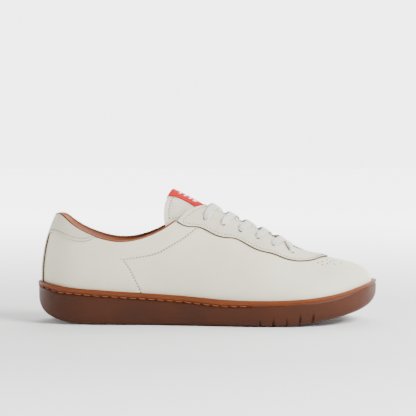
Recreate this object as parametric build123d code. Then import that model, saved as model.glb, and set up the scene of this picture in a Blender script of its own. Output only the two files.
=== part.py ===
"""Low-cut leather court shoe for the right foot, built as its separate pieces.

Millimetres. +X points to the toe, +Y to the inner (medial) side, +Z up. The ground is Z = 0 and the origin is
under the middle of the sole. Every upper panel is a thin layer of one common form, the surface a last would
give: the feather edge is where the upper meets the insole board, the ridge is its line along the instep.
"""
import os

import numpy as np
from build123d import *

# driving dimensions
LENGTH = 300.0             # heel to toe of the cup sole
FEATHER_INSET = 4.6        # the upper's lower edge stands this far inside the sole's outline
CUP_INSET = 3.45           # inner wall of the cup, inside the sole's outline
LEATHER = 1.4              # vamp and quarters
OVERLAY = 1.35             # eyestay and heel tab, on top of the quarters
BACKING_IN, BACKING_OUT = -1.9, -1.45
LINING_IN, LINING_OUT = -2.85, -1.95
REAR_LINING_IN, REAR_LINING_OUT = -3.65, -2.75
BOARD_DROP, BOARD_THICK = 0.15, 1.8
SOCK_FOAM, SOCK_COVER = 3.2, 0.8
LACE_R = 1.15
HOLE_R = 2.1
VENT_R = 0.75
STITCH_PITCH = 8.0
STITCH_LENGTH = 5.6
STITCH_R = 0.55

# outline of the sole seen from above, heel to toe along each side
HEEL, TIP = (-150, 0), (150, 8.5)
OUTER = [(-146.5, -13), (-139, -23.5), (-127, -31.5), (-108, -36), (-82, -37.5), (-55, -38.5), (-28, -41.5),
         (0, -46), (28, -50.5), (54, -53), (78, -52.3), (99, -47.6), (117, -39.5), (131, -29), (142, -15.5),
         (148.5, -0.5)]
INNER = [(148.6, 17), (142.5, 29.5), (132, 39.5), (118, 47.3), (100, 52), (80, 53), (56, 49.5), (30, 42.5),
         (3, 35.5), (-25, 32.5), (-53, 33.5), (-80, 36), (-106, 36), (-126, 31.5), (-139, 23.5), (-146.5, 13)]

# side view of the sole: X, Z
RIM = [(-152, 35.6), (-140, 34.8), (-125, 32.6), (-105, 30.8), (-60, 27.9), (-20, 25.6), (18, 22.7), (44, 22.3),
       (70, 22.9), (95, 24.8), (115, 27.9), (130, 31.3), (142, 34.2), (152, 35.8)]
BOTTOM = [(-152, 18), (-147, 11.5), (-140, 6.6), (-130, 3.2), (-118, 1.2), (-104, 0.1), (-95, -0.15), (62, -0.15),
          (70, 0.3), (79, 1.2), (94, 3.2), (114, 6.8), (130, 10.6), (143, 15.6), (152, 21.5)]
CUP_FLOOR = [(-152, 15.5), (-140, 11.5), (-125, 7.4), (-100, 4.8), (-60, 4.5), (60, 4.5), (80, 5.6), (100, 8.2),
             (118, 11.6), (132, 15.6), (146, 21.0), (152, 23.5)]
FEATHER_LINE = [(-152, 21.5), (-125, 21.2), (-100, 20.5), (-80, 19.6), (-65, 18.6), (-50, 17.5), (-35, 16.5),
                (-20, 15.5), (-5, 14.4), (10, 13.4), (25, 12.6), (40, 12.2), (55, 12), (70, 12.2), (85, 13.0),
                (100, 14.8), (115, 17.4), (130, 21.0), (152, 25.6)]
# the stitched groove of the cup wall, and the moulded line that carries it on to the toe
STITCH_LINE = [(-153, 30.75), (-148, 30.8), (-144, 30.75), (-140, 30.3), (-134, 28.6), (-118, 26.8), (-103, 25.5),
               (-87, 24.5), (-70, 23.4),
               (-49, 22.3), (-28, 21), (-8, 19.2), (9, 17.6), (34.5, 17.6), (49, 18.1), (69, 18.9), (89, 20.4),
               (108, 23), (128, 28.3), (141, 31.7), (149, 33)]
STITCH_END = 38.0
SIPES = [(44.3, 5.3), (55.6, 5.3), (67.1, 5.7), (78.7, 8.2), (90.0, 8.7)]

# form of the upper at stations along X: ridge height, ridge y, then how the rib's curve leaves the feather edge
# (rise, outward) and how it arrives at the ridge (reach, drop)
FORM = [
    (-152, 128, 0.0, .27, 2.6, 1.02, .40),
    (-125, 128, 0.0, .275, 3.4, 1.04, .395),
    (-100, 127, 0.0, .28, 4.4, 1.07, .38),
    (-80, 126, 0.0, .29, 5.0, 1.08, .36),
    (-65, 125, 0.0, .30, 5.0, 1.03, .30),
    (-50, 123, 0.0, .32, 5.0, .93, .21),
    (-35, 119, 0.0, .35, 5.0, .76, .09),
    (-20, 112.5, 0.0, .38, 5.0, .60, 0.0),
    (-5, 105.3, 0.0, .385, 4.6, .55, 0.0),
    (10, 98.3, 0.3, .39, 4.2, .55, 0.0),
    (25, 91.0, 0.8, .395, 4.0, .56, 0.0),
    (40, 83.6, 1.3, .40, 3.8, .58, 0.0),
    (55, 76.4, 1.8, .42, 3.5, .60, 0.0),
    (70, 68.2, 2.3, .445, 3.2, .61, 0.0),
    (85, 60.4, 2.9, .475, 2.9, .61, 0.0),
    (100, 57.0, 3.6, .51, 2.8, .61, 0.0),
    (152, 57.0, 3.6, .72, 3.6, .61, 0.0),
]
POLE_X = 100.0             # the toe's ribs fan out from the ridge here
TOE_REACH = 36.0
TOE_SLOPE = -0.17
TOE_SPAN = 54.0
HEEL_JOIN, HEEL_REACH = -95.0, 17.0

# edges in the upper's own coordinates. Front: q along the ridge, w 0 at the ridge and 1 at the feather edge.
STAY_LOW = [(-26.9, .408), (-22.1, .431), (-16.3, .433), (-9, .41), (-1.5, .408), (6.8, .422), (15.1, .413),
            (23.6, .388), (31.9, .396), (40.2, .415), (48.5, .415), (57, .403), (65.5, .405), (73.6, .387),
            (84.6, .315), (94.8, .219), (100.6, .12), (103.2, 0)]
THROAT = [(-3, .142), (10, .134), (30, .13), (50, .13), (66, .127), (74, .107), (79.5, .062), (81.5, 0)]
EYELETS = [(72.8, .27), (56.4, .295), (43.1, .28), (27.9, .286), (13.0, .295), (-2.8, .312)]
VENTS = [(90.9, .342), (96.3, .303), (99.8, .337), (100.0, .262), (102.9, .299), (104.6, .242), (102.9, .195),
         (106.9, .304), (106.2, .185), (105.4, .128), (110.2, .242)]
# rear: u along the feather edge from the middle of the heel, v 0 at the feather edge and 1 at the ridge
COLLAR = [(0, .722), (12, .72), (23.6, .708), (41, .64), (56.5, .576), (71.7, .531), (88.7, .505), (103.4, .507),
          (113.8, .521), (124.4, .547), (134.8, .598), (143.3, .662), (151.5, .756), (158.6, .856)]
COLLAR_END = 134.8
# side view lines: X, Z
SEAM_DOWN = [(-50, 5), (-58.1, 27.6), (-61.3, 34.9), (-65.5, 43.3), (-70.7, 51.8), (-75.8, 56.4)]
SEAM_ON = [(-75.8, 56.4), (-64.3, 57.7), (-49.5, 60.2), (-37.1, 65.4), (-24.6, 72.7), (-12, 81.8), (-3, 90.5),
           (8, 103)]
STAY_TOP = [(-30, 88.3), (-26.8, 90.2), (-18.4, 94.9), (-10, 99.7), (-1.6, 102.6), (10, 106)]
TAB_LOW = [(-158, 75.5), (-141, 75.8), (-136, 77.4), (-130, 77.6), (-121.7, 74.1), (-110.9, 71.6), (-102.4, 72.3),
           (-97.6, 75.2), (-95.5, 80)]
STRIP_HALF = 8.6           # half width of the strip down the back of the heel


class Curve:
    """A natural cubic curve through values at knots."""

    def __init__(self, knots, values):
        knots = np.asarray(knots, float)
        values = np.asarray(values, float)
        n = len(knots)
        h = np.diff(knots)
        left = np.eye(n)
        right = np.zeros((n, n))
        for i in range(1, n - 1):
            left[i, i - 1:i + 2] = h[i - 1], 2 * (h[i - 1] + h[i]), h[i]
            right[i, i - 1:i + 2] = 6 / h[i - 1], -6 / h[i - 1] - 6 / h[i], 6 / h[i]
        self.knots, self.values, self.h = knots, values, h
        self.bend = np.linalg.solve(left, right)
        self.moments = np.tensordot(self.bend, values, 1)

    def weights(self, t):
        i = np.clip(np.searchsorted(self.knots, t) - 1, 0, len(self.h) - 1)
        h = self.h[i]
        a = (self.knots[i + 1] - t) / h
        b = 1 - a
        return i, a, b, (a**3 - a) * h * h / 6, (b**3 - b) * h * h / 6

    def __call__(self, t):
        t = np.asarray(t, float)
        i, *parts = self.weights(t)
        a, b, c, d = (p.reshape(t.shape + (1,) * (self.values.ndim - 1)) for p in parts)
        return a * self.values[i] + b * self.values[i + 1] + c * self.moments[i] + d * self.moments[i + 1]


def table(rows):
    """Smooth functions of the first column, held level beyond its ends."""
    rows = np.array(rows, float)
    curve = Curve(rows[:, 0], rows[:, 1:])
    return lambda x: curve(np.clip(x, rows[0, 0], rows[-1, 0]))


def closed_outline(count=1600):
    points = np.array([HEEL] + OUTER + [TIP] + INNER, float)
    wrap = 4
    run = np.vstack([points[-wrap:], points, points[:wrap + 1]])
    knots = np.concatenate([[0], np.cumsum(np.linalg.norm(np.diff(run, axis=0), axis=1))])
    return Curve(knots, run)(np.linspace(knots[wrap], knots[wrap + len(points)], count + 1))


def inset(line, distance):
    """A closed outline moved inwards."""
    along = np.gradient(line, axis=0)
    along[0] = along[-1] = line[1] - line[-2]
    along /= np.linalg.norm(along, axis=1)[:, None]
    return line + np.stack([-along[:, 1], along[:, 0]], 1) * distance


OUTLINE = closed_outline()
FEATHER = inset(OUTLINE, FEATHER_INSET)
TIP_INDEX = int(np.argmax(FEATHER[:, 0]))
TIP_X, TIP_Y = FEATHER[TIP_INDEX]
HEEL_X = FEATHER[:, 0].min()
feather_z, stitch_z, form = table(FEATHER_LINE), table(STITCH_LINE), table(FORM)
collar_v = table(COLLAR)


def side_y(line, x, side):
    """y of an outline at x, on the outer (-1) or the inner (+1) side."""
    half = line[:TIP_INDEX + 1] if side < 0 else line[TIP_INDEX:]
    order = np.argsort(half[:, 0])
    return np.interp(x, half[order, 0], half[order, 1])


def rib(x, side, t, turn=None):
    """Points of the rib that stands on the feather edge at x; turn is its angle round the toe, 0 at the tip."""
    if turn is not None:
        x = POLE_X + (TIP_X - POLE_X) * np.cos(turn)
    ridge, middle, rise, outward, reach, drop = form(x)
    y = side_y(FEATHER, x, side)
    if abs(x - TIP_X) < 1e-6:
        y = TIP_Y
    if x - HEEL_X < 1e-6:
        y = 0.0
    foot = np.array([x, y, feather_z(x)[0]])
    top_x = x
    if x < HEEL_JOIN:
        top_x = HEEL_JOIN - HEEL_REACH * (1 - np.exp((x - HEEL_JOIN) / HEEL_REACH))
    if turn is not None:
        top_x = POLE_X
        ridge, middle = form(POLE_X)[:2]
    top = np.array([top_x, middle, ridge])
    away = (foot - top) * (1, 1, 0)
    span = np.linalg.norm(away)
    away /= span
    height = top[2] - foot[2]
    first = foot + away * outward + np.array([0, 0, rise * height])
    second = top + away * reach * span - np.array([0, 0, drop * height])
    if turn is not None:
        half = abs(side_y(FEATHER, POLE_X, side) - middle)
        level = TOE_REACH * np.cos(turn)
        second = top + np.array([level, side * form(POLE_X)[4] * half * np.sin(turn), TOE_SLOPE * level])
    t = np.asarray(t)[:, None]
    return (1 - t)**3 * foot + 3 * t * (1 - t)**2 * first + 3 * t * t * (1 - t) * second + t**3 * top


class Form:
    """A smooth surface through rows of points, with outward normals."""

    def __init__(self, rows, columns, points, outward):
        self.along = Curve(rows, points)
        self.across = Curve(columns, np.zeros(len(columns)))
        self.outward = outward
        self.limits = rows[0], rows[-1], columns[0], columns[-1]

    def __call__(self, a, b):
        a, b = np.broadcast_arrays(np.asarray(a, float), np.asarray(b, float))
        shape = a.shape
        rows = self.along(a.ravel())
        bends = np.einsum("ij,njk->nik", self.across.bend, rows)
        i, *parts = self.across.weights(b.ravel())
        n = np.arange(len(rows))
        p, q, r, s = (part[:, None] for part in parts)
        points = p * rows[n, i] + q * rows[n, i + 1] + r * bends[n, i] + s * bends[n, i + 1]
        return points.reshape(shape + (3,))

    def normal(self, a, b):
        a0, a1, b0, b1 = self.limits
        a = np.clip(a, a0 + .8, a1 - .8)
        b = np.clip(b, b0 + .015, b1 - .015)
        n = np.cross(self(a + .05, b) - self(a - .05, b), self(a, b + .002) - self(a, b - .002)) * self.outward
        return n / np.linalg.norm(n, axis=-1, keepdims=True)

    def at(self, a, b, offset=0.0):
        return self(a, b) + self.normal(a, b) * np.asarray(offset, float)[..., None]


def front_form():
    stations = np.arange(-95.0, POLE_X + 1, 7.5)
    columns = np.linspace(-1, 1, 17)
    rows = [np.vstack([rib(x, -1, 1 + columns[columns <= 0]), rib(x, 1, 1 - columns[columns > 0])])
            for x in stations]
    fan = np.array([.12, .24, .36, .48, .61, .74, .87, 1.0])
    for s in fan:
        row = []
        for w in columns:
            dx = s * np.sqrt(1 - w * w / 2)
            dy = w * np.sqrt(1 - s * s / 2)
            row.append(rib(None, -1 if w <= 0 else 1, [1 - np.hypot(dx, dy)], np.arctan2(abs(dy), dx))[0])
        rows.append(np.array(row))
    return Form(np.r_[stations, POLE_X + TOE_SPAN * fan], columns, np.array(rows), 1)


def feather_lengths(stations, side):
    """Distance along the feather edge from the middle of the heel to each station."""
    x = np.r_[HEEL_X, stations]
    fine = np.concatenate([np.linspace(a, b, 30, endpoint=False) for a, b in zip(x[:-1], x[1:])] + [x[-1:]])
    y = np.r_[0.0, side_y(FEATHER, fine[1:], side)]
    steps = np.linalg.norm(np.diff(np.stack([fine, y], 1), axis=0), axis=1)
    return np.r_[0, np.cumsum(steps)][::30][1:]


def rear_form():
    stations = np.r_[-143.4, -138, -130, -120, -108, np.arange(-95.0, 26, 7.5)]
    columns = np.linspace(0, .89, 12)
    rows = [rib(x, -1, columns) for x in stations[::-1]]
    rows.append(rib(HEEL_X, -1, columns))
    rows += [rib(x, 1, columns) for x in stations]
    places = np.r_[-feather_lengths(stations, -1)[::-1], 0, feather_lengths(stations, 1)]
    return Form(places, columns, np.array(rows), -1)


FRONT = front_form()
REAR = rear_form()


# ---------------------------------------------------------------- solids
def face_of(points):
    """A smooth face through a grid of points: the first fit that stays within the points' own box."""
    rows = [[Vector(*p) for p in row] for row in points]
    low, high = points.min((0, 1)) - 0.3, points.max((0, 1)) + 0.3
    for tolerance, degree in ((0.02, 5), (0.04, 4), (0.01, 3), (0.06, 3), (0.1, 5)):
        face = Face.make_surface_from_array_of_points(rows, tol=tolerance, min_deg=3, max_deg=degree)
        box = face.bounding_box()
        if (np.array([*box.min]) > low).all() and (np.array([*box.max]) < high).all():
            return face
    raise ValueError("no smooth fit through the points")


def layer(outer, inner):
    """A solid between two matching grids of points."""
    top, base = face_of(outer), face_of(inner)
    walls = []
    for edge in top.edges():
        near = min(base.edges(), key=lambda other: (other @ 0.5 - edge @ 0.5).length)
        walls.append(Face.make_surface_from_curves(edge, near))
    return Solid(Shell([top, base] + walls))


def patch(form_surface, a, b, outer, inner):
    """A layer of the form over a grid of its own coordinates, between two offsets."""
    return layer(form_surface.at(a, b, outer), form_surface.at(a, b, inner))


def mesh(a0, a1, na, b0, b1, nb):
    return np.meshgrid(np.linspace(a0, a1, na), np.linspace(b0, b1, nb), indexing="ij")


def side_prism(*runs, y0=-90.0, y1=90.0):
    """A prism along Y over a side view region; each run is a list of points, smooth when it has over two."""
    edges = []
    for points in runs:
        edges += [Line(*points)] if len(points) == 2 else [Spline(*points)]
    region = Plane.XZ.offset(-y0) * make_face(edges)
    return extrude(region, y1 - y0, dir=(0, 1, 0))


def corners(*points):
    """Straight runs through the points."""
    return [[a, b] for a, b in zip(points[:-1], points[1:])]


def prism(line, z0, z1, step=20):
    """An upright prism over a closed outline."""
    points = [Vector(x, y, z0) for x, y in line[:-1:step]]
    return extrude(Face(Wire([Spline(*points, periodic=True)])), z1 - z0, dir=(0, 0, 1))


def slab(line, low, high, step=20):
    """The part of an outline's prism between two side view lines."""
    side = side_prism(low, [low[-1], high[-1]], high[::-1], [high[0], low[0]])
    return prism(line, -5, 60, step) & side


def shifted(line, dz):
    return [(x, z + dz) for x, z in line]


def only(shape):
    """The largest solid of a result."""
    return max(shape.solids(), key=lambda solid: solid.volume)


def tube(points, radius):
    path = Spline(*[Vector(*p) for p in points])
    ring = Plane(origin=path @ 0, z_dir=path % 0) * Circle(radius)
    return sweep(ring, path)


def pin(base, direction, radius, low, high):
    """A cylinder along a direction, from low to high beyond its base point."""
    start = Vector(*(base + direction * low))
    return Plane(origin=start, z_dir=Vector(*direction)) * Cylinder(
        radius, high - low, align=(Align.CENTER, Align.CENTER, Align.MIN))


def save(node, shape):
    export_step(shape, f"parts/{node}.step")
    print(node, round(shape.volume / 1000, 2), "cm3", "valid" if shape.is_valid else "NOT VALID", flush=True)


def groove_path(inward):
    """The wall line round the whole sole, from the toe along the outer side to the toe again."""
    line = inset(OUTLINE, inward)
    line = np.vstack([line[TIP_INDEX + 8:-1], line[:TIP_INDEX - 8]])[::-1]
    return np.column_stack([line, stitch_z(line[:, 0])[:, 0]])


def tread_grooves():
    """Zigzag grooves across the outsole."""
    cutters = []
    for base in range(-116, 117, 10):
        zigzag = [(base + (3.5 if k % 2 else -3.5), -48 + 12 * k) for k in range(9)]
        strip = zigzag + [(x + 1.7, y) for x, y in zigzag[::-1]]
        cutters.append(extrude(Plane.XY.offset(-4) * make_face(Polyline(*strip, close=True)), 24, dir=(0, 0, 1)))
    depth = slab(inset(OUTLINE, 7.0), shifted(BOTTOM, -3), shifted(BOTTOM, 1.6), 40)
    return Compound(cutters) & depth


def build_sole():
    cup = slab(OUTLINE, BOTTOM, RIM)
    hollow = side_prism(CUP_FLOOR, *corners(CUP_FLOOR[-1], (152, 60), (-152, 60), CUP_FLOOR[0]))
    cup -= prism(inset(OUTLINE, CUP_INSET), 0, 60) & hollow
    pocket = prism(inset(OUTLINE, CUP_INSET - 1.5), 27, 60)
    cup -= pocket & Pos(-140, 0, 45) * Box(30, 2 * STRIP_HALF + 0.6, 40)
    band = slab(inset(OUTLINE, -2.0), shifted(STITCH_LINE, -0.95), shifted(STITCH_LINE, 0.95), 40)
    cup = only(cup - (band - prism(inset(OUTLINE, 1.4), 0, 60)))
    slots = []
    for x, top in SIPES:
        for side in (-1, 1):
            slots.append(Pos(x, float(side_y(OUTLINE, x, side)), top / 2 - 2) * Box(1.5, 3.0, top + 4))
    cup = cup - Compound(slots)
    ground = Pos(0, 0, -10) * Box(2 * LENGTH, LENGTH, 20)
    save("cupsole", only(cup - tread_grooves() - ground))

    filling = inset(OUTLINE, CUP_INSET + 0.2)
    foam_top = [(x, z - BOARD_DROP - BOARD_THICK - 0.1) for x, z in FEATHER_LINE]
    save("midsole_foam", only(slab(filling, shifted(CUP_FLOOR, 0.1), foam_top)))
    board_top = shifted(FEATHER_LINE, -BOARD_DROP)
    save("insole_board", only(slab(inset(FEATHER, 0.2), shifted(board_top, -BOARD_THICK), board_top)))
    sock = inset(FEATHER, 4.4)
    low = shifted(FEATHER_LINE, 0.3)
    middle = shifted(low, SOCK_FOAM)
    save("sock_liner_foam", only(slab(sock, low, middle)))
    save("sock_liner_cover", only(slab(sock, shifted(middle, 0.02), shifted(middle, SOCK_COVER))))


def build_stitches():
    """Thick thread in the groove of the cup's wall, round the heel and along both sides."""
    line = groove_path(0.25)
    steps = np.linalg.norm(np.diff(line, axis=0), axis=1)
    along = np.r_[0, np.cumsum(steps)]
    threads = []
    for start in np.arange(0, along[-1], STITCH_PITCH):
        ends = [np.array([np.interp(s, along, line[:, k]) for k in range(3)]) for s in (start, start + STITCH_LENGTH)]
        if max(ends[0][0], ends[1][0]) < STITCH_END:
            way = ends[1] - ends[0]
            length = float(np.linalg.norm(way))
            threads.append(pin(ends[0], way / length, STITCH_R, 0, length))
    save("sidewall_stitching", Compound(threads))


def rear_limits(count_u, count_s, u0, u1, low, high_gap=0.0):
    """A grid on the rear form from a level v up to the collar edge."""
    u, s = mesh(u0, u1, count_u, 0, 1, count_s)
    top = collar_v(np.abs(u))[..., 0] - high_gap
    return u, low + (top - low) * s


def throat_prism(grow=0.0):
    """The open throat between the two flaps, as an upright prism."""
    side_lines = []
    for side in (-1, 1):
        edge = [(-40.0, THROAT[0][1])] + THROAT
        points = [FRONT(q, side * w)[:2] for q, w in edge]
        side_lines.append([(float(x), float(y) + side * grow) for x, y in points])
    left, right = side_lines
    loop = [Spline(*left), Spline(*right[::-1]), Line(left[0], right[0])]
    return extrude(Plane.XY.offset(30) * make_face(loop), 120, dir=(0, 0, 1))


def quarter_prism(shift=0.0):
    """Side view region of the rear panel, in front bounded by its seam with the vamp."""
    down = [(x - shift, z + shift) for x, z in SEAM_DOWN]
    on = [(x - shift, z + shift) for x, z in SEAM_ON]
    return side_prism(down, on, *corners(on[-1], (10, 140), (-170, 140), (-170, 5), down[0]))


def above_stay():
    """Everything over the ankle edge of the eyestay."""
    return side_prism(STAY_TOP, *corners(STAY_TOP[-1], (10, 150), (-30, 150), STAY_TOP[0]))


def hole_pins(radius, side, places):
    pins = []
    for q, w in places:
        base, direction = FRONT(q, side * w), FRONT.normal(q, side * w)
        pins.append(pin(base, direction, radius, -8, 8))
    return pins


def eyelet_pins():
    return Compound(hole_pins(HOLE_R, -1, EYELETS) + hole_pins(HOLE_R, 1, EYELETS))


def vent_pins():
    return Compound(hole_pins(VENT_R, -1, VENTS) + hole_pins(VENT_R, 1, VENTS))


def stay_grid(count, wide, margin=0.0):
    """The U of the eyestay: from the outer ankle end round the toe end to the inner ankle end, throat to low edge."""
    edges = []
    for rows in (THROAT, STAY_LOW):
        rows = np.array(rows)
        rows = np.vstack([rows * (1, -1), rows[-2::-1]])
        steps = np.linalg.norm(np.diff(rows * (1, 80), axis=0), axis=1)
        knots = np.r_[0, np.cumsum(steps)]
        edges.append(Curve(knots / knots[-1], rows))
    s, t = mesh(0.0, 1.0, count, margin, 1 - margin, wide)
    inner, outer = edges[0](s), edges[1](s)
    place = inner + (outer - inner) * t[..., None]
    return place[..., 0], place[..., 1]


def build_upper():
    throat, holes, vents, over_stay = throat_prism(), eyelet_pins(), vent_pins(), above_stay()

    vamp = patch(FRONT, *mesh(-82, 154, 70, -1, 1, 45), 0.0, -LEATHER)
    vamp = only(vamp - quarter_prism() - throat)
    save("vamp", only(vamp - holes - vents))

    for side, name in ((-1, "quarter_lateral"), (1, "quarter_medial")):
        u, v = rear_limits(80, 26, side * 158.6, side * 0.1, 0.0)
        if side > 0:
            u, v = u[::-1], v[::-1]
        panel = patch(REAR, u, v, 0.0, -LEATHER) & quarter_prism(0.15)
        save(name, only(only(panel) - holes))

    q, w = stay_grid(150, 13)
    stay = patch(FRONT, q, w, OVERLAY, 0.05)
    save("eyestay", only(stay - holes))
    q, w = stay_grid(110, 9, 0.1)
    backing = patch(FRONT, q, w, BACKING_OUT, BACKING_IN) - Pos(-68, 0, 50) * Box(100, 120, 140)
    save("eyestay_backing", only(only(backing - over_stay) - holes))

    u, v = rear_limits(90, 24, -66, 66, 0.09)
    tab = patch(REAR, u, v, OVERLAY, 0.05)
    under = side_prism(TAB_LOW, *corners(TAB_LOW[-1], (-60, 80), (-60, 5), (-158, 5), TAB_LOW[0]))
    sides = Pos(-110, 50 + STRIP_HALF, 50) * Box(100, 100, 120) + Pos(-110, -50 - STRIP_HALF, 50) * Box(100, 100, 120)
    save("heel_backstay", only(tab - (under & sides)))

    save("toe_puff", only(patch(FRONT, *mesh(114, 153.2, 24, -.985, .985, 41), BACKING_OUT, BACKING_IN)))
    u, v = rear_limits(50, 14, -64, 64, 0.015, 0.33)
    save("heel_counter", only(patch(REAR, u, v, -1.45, -2.6)))

    lining = patch(FRONT, *mesh(-19.2, 154, 56, -1, 1, 45), LINING_OUT, LINING_IN)
    save("vamp_lining", only(only(lining - throat - over_stay) - holes - vents))


def foam_depth(u, s):
    """Thickness of the collar's padding; s runs from the collar edge down."""
    fade = np.clip((COLLAR_END - 4 - np.abs(u)) / 40, 0, 1)
    fade = fade * fade * (3 - 2 * fade)
    swell = np.sin(np.pi * np.clip(s, 0, 1) ** .62) ** .8
    return 4.4 * fade * swell


def collar_span(v, top):
    return (top - v) / .30


def build_collar():
    end = 141.8
    u, s = mesh(-end, end, 120, 0, 1, 30)
    top = collar_v(np.abs(u))[..., 0] - .006
    v = top * s
    depth = foam_depth(u, collar_span(v, top))
    save("collar_lining", only(patch(REAR, u, v, REAR_LINING_OUT - depth, REAR_LINING_IN - depth) - eyelet_pins()))

    u, s = mesh(-118, 118, 110, .03, .97, 16)
    top = collar_v(np.abs(u))[..., 0] - .006
    v = top - .30 * s
    depth = foam_depth(u, s)
    foam = patch(REAR, u, v, -1.5, REAR_LINING_OUT + 0.12 - depth)
    save("collar_foam", only(foam))

    u = np.linspace(-COLLAR_END + 2, COLLAR_END - 2, 60)
    bead = REAR.at(u, collar_v(np.abs(u))[:, 0] + .006, -2.0)
    bead[:, 2] += 1.0
    save("collar_piping", tube(bead, 1.15))


# the tongue, in the front form's coordinates
TONGUE_TOP = [(0, -30.5), (.06, -31.4), (.13, -34.0), (.20, -36.6), (.30, -38.4), (.40, -37.6), (.46, -36)]
TONGUE_HALF = [(-38, .425), (-20, .415), (-8, .37), (4, .36), (25, .355), (50, .345), (70, .315), (88, .275)]
TONGUE_END = 87.0
TONGUE_LEVEL = [(-38, -2.4), (-28, -2.6), (-14, -4.4), (0, -6.0), (20, -6.3), (58, -6.4), (74, -7.3),
                (88, -7.4)]
tongue_top, tongue_half, tongue_level = table(TONGUE_TOP), table(TONGUE_HALF), table(TONGUE_LEVEL)


def tongue_grid(count, wide, margin=0.0):
    s, t = mesh(margin, 1 - margin * .7, count, -1 + margin * 2, 1 - margin * 2, wide)
    start = tongue_top(np.abs(t) * .425)[..., 0]
    q = start + (TONGUE_END - start) * s
    return q, t * tongue_half(q)[..., 0], s, t


def tongue_offset(q, w):
    """Level of the tongue's outer face: it rises between the flaps and is tucked in behind the collar's ends."""
    level = tongue_level(q)[..., 0]
    swell = np.exp(-(w / .085)**2) * np.clip((66 - q) / 20, 0, 1)
    tuck = np.clip((np.abs(w) - .20) / .12, 0, 1) * np.clip((q + 41) / 6, 0, 1)
    tuck = tuck * tuck * (3 - 2 * tuck)
    return level + .7 * swell - np.clip(level + 4.3, 0, 9) * tuck


def padding(s, t):
    """Fill of the tongue, thin at its edges."""
    ends = np.clip(np.minimum(s / .08, (1 - s) / .16), 0, 1)
    sides = np.clip((1 - np.abs(t)) / .22, 0, 1)
    return .45 + 3.6 * np.sqrt(ends * (2 - ends)) * np.sqrt(sides * (2 - sides))


def build_tongue():
    q, w, s, t = tongue_grid(90, 31)
    level = tongue_offset(q, w)
    save("tongue_cover", only(patch(FRONT, q, w, level, level - 1.1)))
    fill = padding(s, t)
    save("tongue_lining", only(patch(FRONT, q, w, level - 1.35 - fill, level - 2.25 - fill)))
    q, w, s, t = tongue_grid(80, 27, .012)
    level = tongue_offset(q, w)
    fill = padding(s, t)
    save("tongue_foam", only(patch(FRONT, q, w, level - 1.2, level - 1.22 - fill)))

    # the label folds over the tongue's top edge
    s, t = mesh(0, 1, 30, -1, 1, 15)
    w = .155 * t
    q = tongue_top(np.abs(w))[..., 0] + .6 + 27 * s
    level = tongue_offset(q, w)
    save("tongue_label", only(patch(FRONT, q, w, level + .95, level + .15)))


# the lace's heights above the form: over the flaps, under them, and where the two ends cross on the tongue
LACE_OVER = OVERLAY + LACE_R + 0.95
LACE_UNDER = LINING_IN - LACE_R - 0.25
CROSS_HIGH, CROSS_LOW = -0.2, -3.2


def on_form(q, w, offset):
    return FRONT.at(float(q), float(w), offset)


def lace_half(side, cross):
    """One end of the lace, from the middle of the hidden bar at the toe to its tip inside the ankle.

    It crosses to the other side between each pair of holes, goes down through the hole there, and comes up
    out of the throat again on that same side."""
    q, w = EYELETS[0]
    points = [on_form(q + 1.5, 0, -3.0), on_form(q + 1.2, side * .14, LACE_UNDER)]
    points += [on_form(q, side * w, LACE_UNDER), on_form(q, side * w, LACE_OVER)]
    points.append(on_form(q - 4.0, side * .125, LACE_OVER + .3))
    for k in range(1, len(EYELETS)):
        last, q, w = EYELETS[k - 1][0], *EYELETS[k]
        side = -side
        middle = (last + q) / 2
        if k > 1:
            points.append(on_form(middle + 1.6, -side * .055, cross - .7))
        points.append(on_form(middle, 0, cross))
        points.append(on_form(middle - 1.6, side * .055, cross + (.5 if cross == CROSS_HIGH else 1.0)))
        points.append(on_form(q + 4.0, side * .125, LACE_OVER + .3))
        points.append(on_form(q, side * w, LACE_OVER))
        points.append(on_form(q, side * w, LACE_UNDER))
        if k < len(EYELETS) - 1:
            points.append(on_form(q - 3.6, side * .14, LACE_UNDER))
    points.append(on_form(q + 1.5, side * .45, LACE_UNDER - .1))
    points.append(on_form(q + 3, side * .56, LACE_UNDER - 1.6))
    points.append(on_form(q + 4, side * .68, LACE_UNDER - 3.8))
    return points


def build_lace():
    first, second = lace_half(-1, CROSS_HIGH), lace_half(1, CROSS_LOW)
    path = FilletPolyline(*[Vector(*p) for p in first[:0:-1] + second[1:]], radius=1.6)
    save("shoelace", sweep(Plane(origin=path @ 0, z_dir=path % 0) * Circle(LACE_R), path))
    tips = []
    for points in (first, second):
        way = points[-1] - points[-2]
        tips.append(pin(points[-1], way / np.linalg.norm(way), LACE_R + 0.1, 0.03, 17))
    save("lace_tips", Compound(tips))


def main():
    os.makedirs("parts", exist_ok=True)
    build_upper()
    build_collar()
    build_tongue()
    build_lace()
    build_stitches()
    build_sole()


main()
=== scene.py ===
"""Looks of a leather court shoe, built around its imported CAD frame. Lengths are worked out in millimetres."""
import math

import bmesh
import bpy
import numpy as np
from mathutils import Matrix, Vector, noise


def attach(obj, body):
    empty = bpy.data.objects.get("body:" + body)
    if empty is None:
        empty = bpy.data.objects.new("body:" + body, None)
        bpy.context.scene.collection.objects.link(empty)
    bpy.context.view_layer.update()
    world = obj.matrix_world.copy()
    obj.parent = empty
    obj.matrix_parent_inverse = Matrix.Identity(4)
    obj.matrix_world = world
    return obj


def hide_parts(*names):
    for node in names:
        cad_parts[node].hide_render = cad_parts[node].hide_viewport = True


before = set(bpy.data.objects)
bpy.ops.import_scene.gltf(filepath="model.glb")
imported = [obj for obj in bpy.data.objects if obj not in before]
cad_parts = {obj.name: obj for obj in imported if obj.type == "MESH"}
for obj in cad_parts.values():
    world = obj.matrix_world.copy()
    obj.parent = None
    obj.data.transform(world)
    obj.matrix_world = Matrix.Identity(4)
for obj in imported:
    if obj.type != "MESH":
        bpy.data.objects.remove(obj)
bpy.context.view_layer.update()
MM = 0.001
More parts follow.
